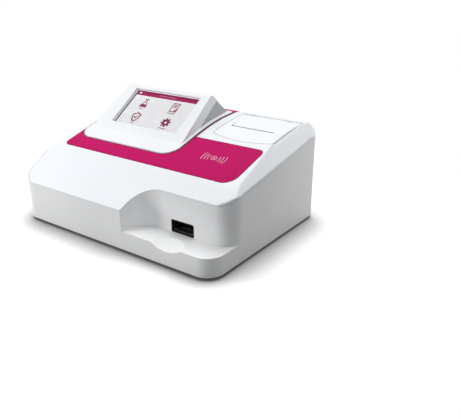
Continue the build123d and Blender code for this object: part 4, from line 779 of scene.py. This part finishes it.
def screen_page():
    """The page: a bar with a small home mark and a title strip, a grey strip down the left side that is
    partly the display's border and partly painted shade of the window's inner wall, and the pictograms,
    each with its place in shares of the page and its strip's width in millimetres."""
    bar_low = page_height * (1 - bar_share)
    bar_middle = page_height * (1 - bar_share / 2)
    top_bar = bar(shaded_border_width, bar_low, page_width, page_height)
    side_border_shade = bar(0, 0, shaded_border_width, page_height)
    home = disc(rounded_box(*home_size, home_radius) + (shaded_border_width + home_inset, bar_middle))
    title_low, title_high = bar_middle - title_line / 2, bar_middle + title_line / 2
    title = bar(page_width * title_from, title_low, page_width * title_to, title_high)
    pictograms = ((flask_icon, 0.25, 0.66, 6), (report_icon, 0.715, 0.68, 12),
                  (shield_icon, 0.265, 0.265, 5), (gear_icon, 0.735, 0.262, 12))
    icons, strips = [], []
    for icon, across, up, strip in pictograms:
        x, y = across * page_width, up * page_height
        half, low = strip * MM / 2, y - strip_drop
        icons.append(joined(icon(), (x, y)))
        strips.append(bar(x - half, low, x + half, low + strip_height))
    pieces = (
        ("screen_title_bar", [top_bar], screen_magenta, bar_lift),
        ("screen_side_border_shade", [side_border_shade], screen_shaded_border, shaded_border_lift),
        ("screen_home_mark", [home], screen_white, mark_lift),
        ("screen_title_strip", [title], screen_pink, mark_lift),
        ("screen_pictograms", icons, screen_icons, icon_lift),
        ("screen_caption_strips", strips, screen_grey, icon_lift),
    )
    for name, parts, material, lift in pieces:
        points, faces = joined(parts)
        add_piece(name, on_screen(points, lift), faces, material, "casing")


screen_page()

# Rear ports and switch
gold_contact = turned("gold_contact", (0.83, 0.60, 0.22), 0.25)
amber_lens = flat_mark("amber_indicator", (0.60, 0.26, 0.02), 0.25)
green_lens = flat_mark("green_indicator", (0.05, 0.33, 0.08), 0.25)
mark_white = flat_mark("switch_mark_white", (0.80, 0.80, 0.80))


def in_space(points, origin, right, up, lift):
    """Flat points set in space from an origin along two directions, and lifted along their cross
    product, or against it where the lift is negative."""
    right, up = np.asarray(right, float), np.asarray(up, float)
    return np.asarray(origin) + points[:, :1] * right + points[:, 1:] * up + lift * np.cross(right, up)


def usb_contacts():
    """Four contacts under the tongue of each USB port."""
    low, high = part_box("usb_ports")
    height = (low.z + high.z) / 2 + usb_tongue_bottom
    flat, faces = joined([bar_mm(across - contact_half, contact_start, across + contact_half, contact_end)
                          for across in contact_places])
    for side, x in (("left", high.x - usb_width / 2), ("right", low.x + usb_width / 2)):
        points = in_space(flat, (x, high.y, height), (-1, 0, 0), (0, -1, 0), -contact_lift)
        add_piece("usb_contacts_" + side, points, faces, gold_contact, "casing")


def network_contacts():
    """Wires that rise from the foot of the network port towards its inside, side by side."""
    low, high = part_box("lan_port")
    foot = ((low.x + high.x) / 2, high.y, (low.z + high.z) / 2 - network_foot)
    places = (np.arange(wire_count) - (wire_count - 1) / 2) * wire_pitch
    flat, faces = joined([bar_mm(across - wire_half, wire_start, across + wire_half, contact_end)
                          for across in places])
    points = in_space(flat, foot, (1, 0, 0), wire_way, wire_lift)
    add_piece("network_contacts", points, faces, gold_contact, "casing")


def network_lights():
    """An amber and a green light in the upper corners of the network port."""
    low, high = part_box("lan_port")
    centre = ((low.x + high.x) / 2, high.y, (low.z + high.z) / 2)
    for side, material, across in (("left", amber_lens, light_place), ("right", green_lens, -light_place)):
        flat, faces = bar_mm(across - light_half, light_low, across + light_half, light_high)
        points = in_space(flat, centre, (-1, 0, 0), (0, 0, 1), -light_lift)
        add_piece("network_light_" + side, points, faces, material, "casing")


def rocker_marks():
    """The on and off marks, a bar and a ring, on the two faces of the switch's rocker."""
    low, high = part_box("rocker_housing")
    way = np.array([cos(rocker_tilt), -sin(rocker_tilt), 0])
    out = np.array([sin(rocker_tilt), cos(rocker_tilt), 0])
    pivot = np.array([(low.x + high.x) / 2, high.y - pivot_to_face, (low.z + high.z) / 2])
    lean = np.arctan2(rocker_dip, rocker_half)
    half_width, half_height = on_bar
    inner, outer = off_ring
    bar_mark = bar_mm(-half_width, -half_height, half_width, half_height)
    ring_mark = ring(circle(inner, 36) * MM, circle(outer, 36) * MM)
    for name, side, (flat, faces) in (("on", 1, bar_mark), ("off", -1, ring_mark)):
        middle = pivot + side * rocker_half / 2 * way + (rocker_above_pivot - rocker_dip / 2) * out
        along = cos(lean) * way + side * sin(lean) * out
        points = in_space(flat, middle, along, (0, 0, 1), -rocker_mark_lift)
        add_piece("switch_mark_" + name, points, faces, mark_white, "rocker")


usb_contacts()
network_contacts()
network_lights()
rocker_marks()

# Studio floor: its own light, the light it throws back, the shadow near the analyzer by how open a spot
# is, and the distances between which the floor fades to even white
white = (1, 1, 1)
floor_white = (0.96, 0.96, 0.96)
floor_lift = 0.24
floor_bounce = 0.34
shadow_reach = 48 * MM
shadow_depth = 0.85
shadow_closed = 0.30
shadow_open = 0.97
fade_start = 0.24
fade_end = 0.42

# Studio light. Each lamp has a name, place, size, power in watts, the point that it faces and the
# spread of its light in degrees
world_tone = (0.97, 0.985, 1.0)
world_light = 0.26
lamps = (
    ("overhead_softbox", (-0.05, 0.26, 1.4), 1.1, 16.5, (0, 0, 0.06), 180),
    ("front_left_softbox", (-0.56, -0.64, 0.22), 0.3, 3.5, (-0.1, -0.1, 0.03), 180),
    ("right_rear_softbox", (0.33, 0.28, 0.10), 0.15, 0.21, (0.145, 0.12, 0.06), 180),
    ("recess_softbox", (0.21, -0.17, 0.055), 0.03, 0.0036, (0.03, -0.088, 0.045), 50),
)

# Camera, fitted to the casing's edges: degrees round from the front and down, and millimetres of lens
camera_place = (0.44482, -0.49377, 0.29061)
camera_azimuth = 35.5
camera_elevation = 23.08
camera_lens = 44.98
sensor_width = 36


def mixed(tree, factor, first, second):
    """A shader between two others by a factor."""
    node = tree.nodes.new("ShaderNodeMixShader")
    tree.links.new(factor, node.inputs[0])
    tree.links.new(first, node.inputs[1])
    tree.links.new(second, node.inputs[2])
    return node.outputs[0]


def plain_shader(tree, kind, colour, strength=None):
    """A diffuse shader, or an emission of some strength."""
    node = tree.nodes.new(kind)
    node.inputs["Color"].default_value = (*colour, 1)
    if strength is not None:
        node.inputs["Strength"].default_value = strength
    return node.outputs[0]


def seen_rays(tree):
    """1 for rays from the camera, a reflection or through glass, 0 for the light that falls on things."""
    path = tree.nodes.new("ShaderNodeLightPath")
    total = path.outputs["Is Camera Ray"]
    for name in ("Is Glossy Ray", "Is Transmission Ray"):
        most = tree.nodes.new("ShaderNodeMath")
        most.operation = "MAXIMUM"
        tree.links.new(total, most.inputs[0])
        tree.links.new(path.outputs[name], most.inputs[1])
        total = most.outputs[0]
    return total


def floor_material():
    """A lit white that keeps the shadow close to the analyzer, darker where the gap under it closes in,
    and fades to even white further out. What the floor throws back on things is a duller white."""
    material = bpy.data.materials.new("studio_floor_white")
    material.use_nodes = True
    tree = material.node_tree
    tree.nodes.clear()
    out = tree.nodes.new("ShaderNodeOutputMaterial")
    lift = tree.nodes.new("ShaderNodeAddShader")
    tree.links.new(plain_shader(tree, "ShaderNodeBsdfDiffuse", floor_white), lift.inputs[0])
    tree.links.new(plain_shader(tree, "ShaderNodeEmission", white, floor_lift), lift.inputs[1])
    closed = tree.nodes.new("ShaderNodeAmbientOcclusion")
    closed.samples = 8
    closed.inputs["Distance"].default_value = shadow_reach
    contact = number(tree, closed.outputs["AO"], shadow_depth, 0, shadow_closed, shadow_open)
    near = mixed(tree, contact, lift.outputs[0], plain_shader(tree, "ShaderNodeEmission", white, 0.0))
    place = tree.nodes.new("ShaderNodeTexCoord")
    distance = tree.nodes.new("ShaderNodeVectorMath")
    distance.operation = "LENGTH"
    tree.links.new(place.outputs["Object"], distance.inputs[0])
    fade = number(tree, distance.outputs["Value"], 0, 1, fade_start, fade_end)
    seen = mixed(tree, fade, near, plain_shader(tree, "ShaderNodeEmission", white, 1.0))
    thrown = plain_shader(tree, "ShaderNodeBsdfDiffuse", (floor_bounce, floor_bounce, floor_bounce))
    tree.links.new(mixed(tree, seen_rays(tree), thrown, seen), out.inputs["Surface"])
    return material


def studio_floor(radii=(0.0005, 0.3, 0.6, 1.2, 3.0), sides=64):
    """A disc on the bench plane, round a pinhole: each point joined to the next ones round and out."""
    angle = np.linspace(0, 2 * pi, sides, endpoint=False)
    across, along = np.outer(radii, np.cos(angle)), np.outer(radii, np.sin(angle))
    points = np.stack([across, along, np.zeros_like(across)], -1).reshape(-1, 3)
    start = np.arange(len(radii) - 1)[:, None] * sides
    i = np.arange(sides)
    j = (i + 1) % sides
    faces = np.stack([start + i, start + i + sides, start + j + sides, start + j], -1).reshape(-1, 4)
    mesh = bpy.data.meshes.new("studio_floor")
    mesh.from_pydata(points.tolist(), [], faces.tolist())
    mesh.materials.append(floor_material())
    floor = bpy.data.objects.new("studio_floor", mesh)
    bpy.context.scene.collection.objects.link(floor)


def studio_world():
    """Even light from all round, seen as white."""
    world = bpy.data.worlds.new("studio_world")
    bpy.context.scene.world = world
    world.use_nodes = True
    tree = world.node_tree
    tree.nodes.clear()
    out = tree.nodes.new("ShaderNodeOutputWorld")
    soft = plain_shader(tree, "ShaderNodeBackground", world_tone, world_light)
    seen = plain_shader(tree, "ShaderNodeBackground", white, 1.0)
    tree.links.new(mixed(tree, seen_rays(tree), soft, seen), out.inputs["Surface"])


def soft_lamp(name, place, size, power, target, spread):
    """A square area lamp that faces the target, and isn't seen itself."""
    light = bpy.data.lights.new(name, "AREA")
    light.size = size
    light.energy = power
    light.spread = radians(spread)
    lamp = bpy.data.objects.new(name, light)
    bpy.context.scene.collection.objects.link(lamp)
    lamp.location = place
    lamp.visible_camera = False
    way = Vector([here - there for here, there in zip(place, target)])
    lamp.rotation_euler = way.to_track_quat("Z", "Y").to_euler()


def add_camera():
    """The camera, turned round from the front by its azimuth and looking down by its elevation."""
    data = bpy.data.cameras.new("photo_camera")
    data.lens = camera_lens
    data.sensor_width = sensor_width
    camera = bpy.data.objects.new("photo_camera", data)
    bpy.context.scene.collection.objects.link(camera)
    camera.location = camera_place
    camera.rotation_euler = (radians(90 - camera_elevation), 0, radians(camera_azimuth))
    bpy.context.scene.camera = camera


studio_floor()
studio_world()
for lamp in lamps:
    soft_lamp(*lamp)
add_camera()
bpy.context.scene.view_settings.view_transform = "Standard"
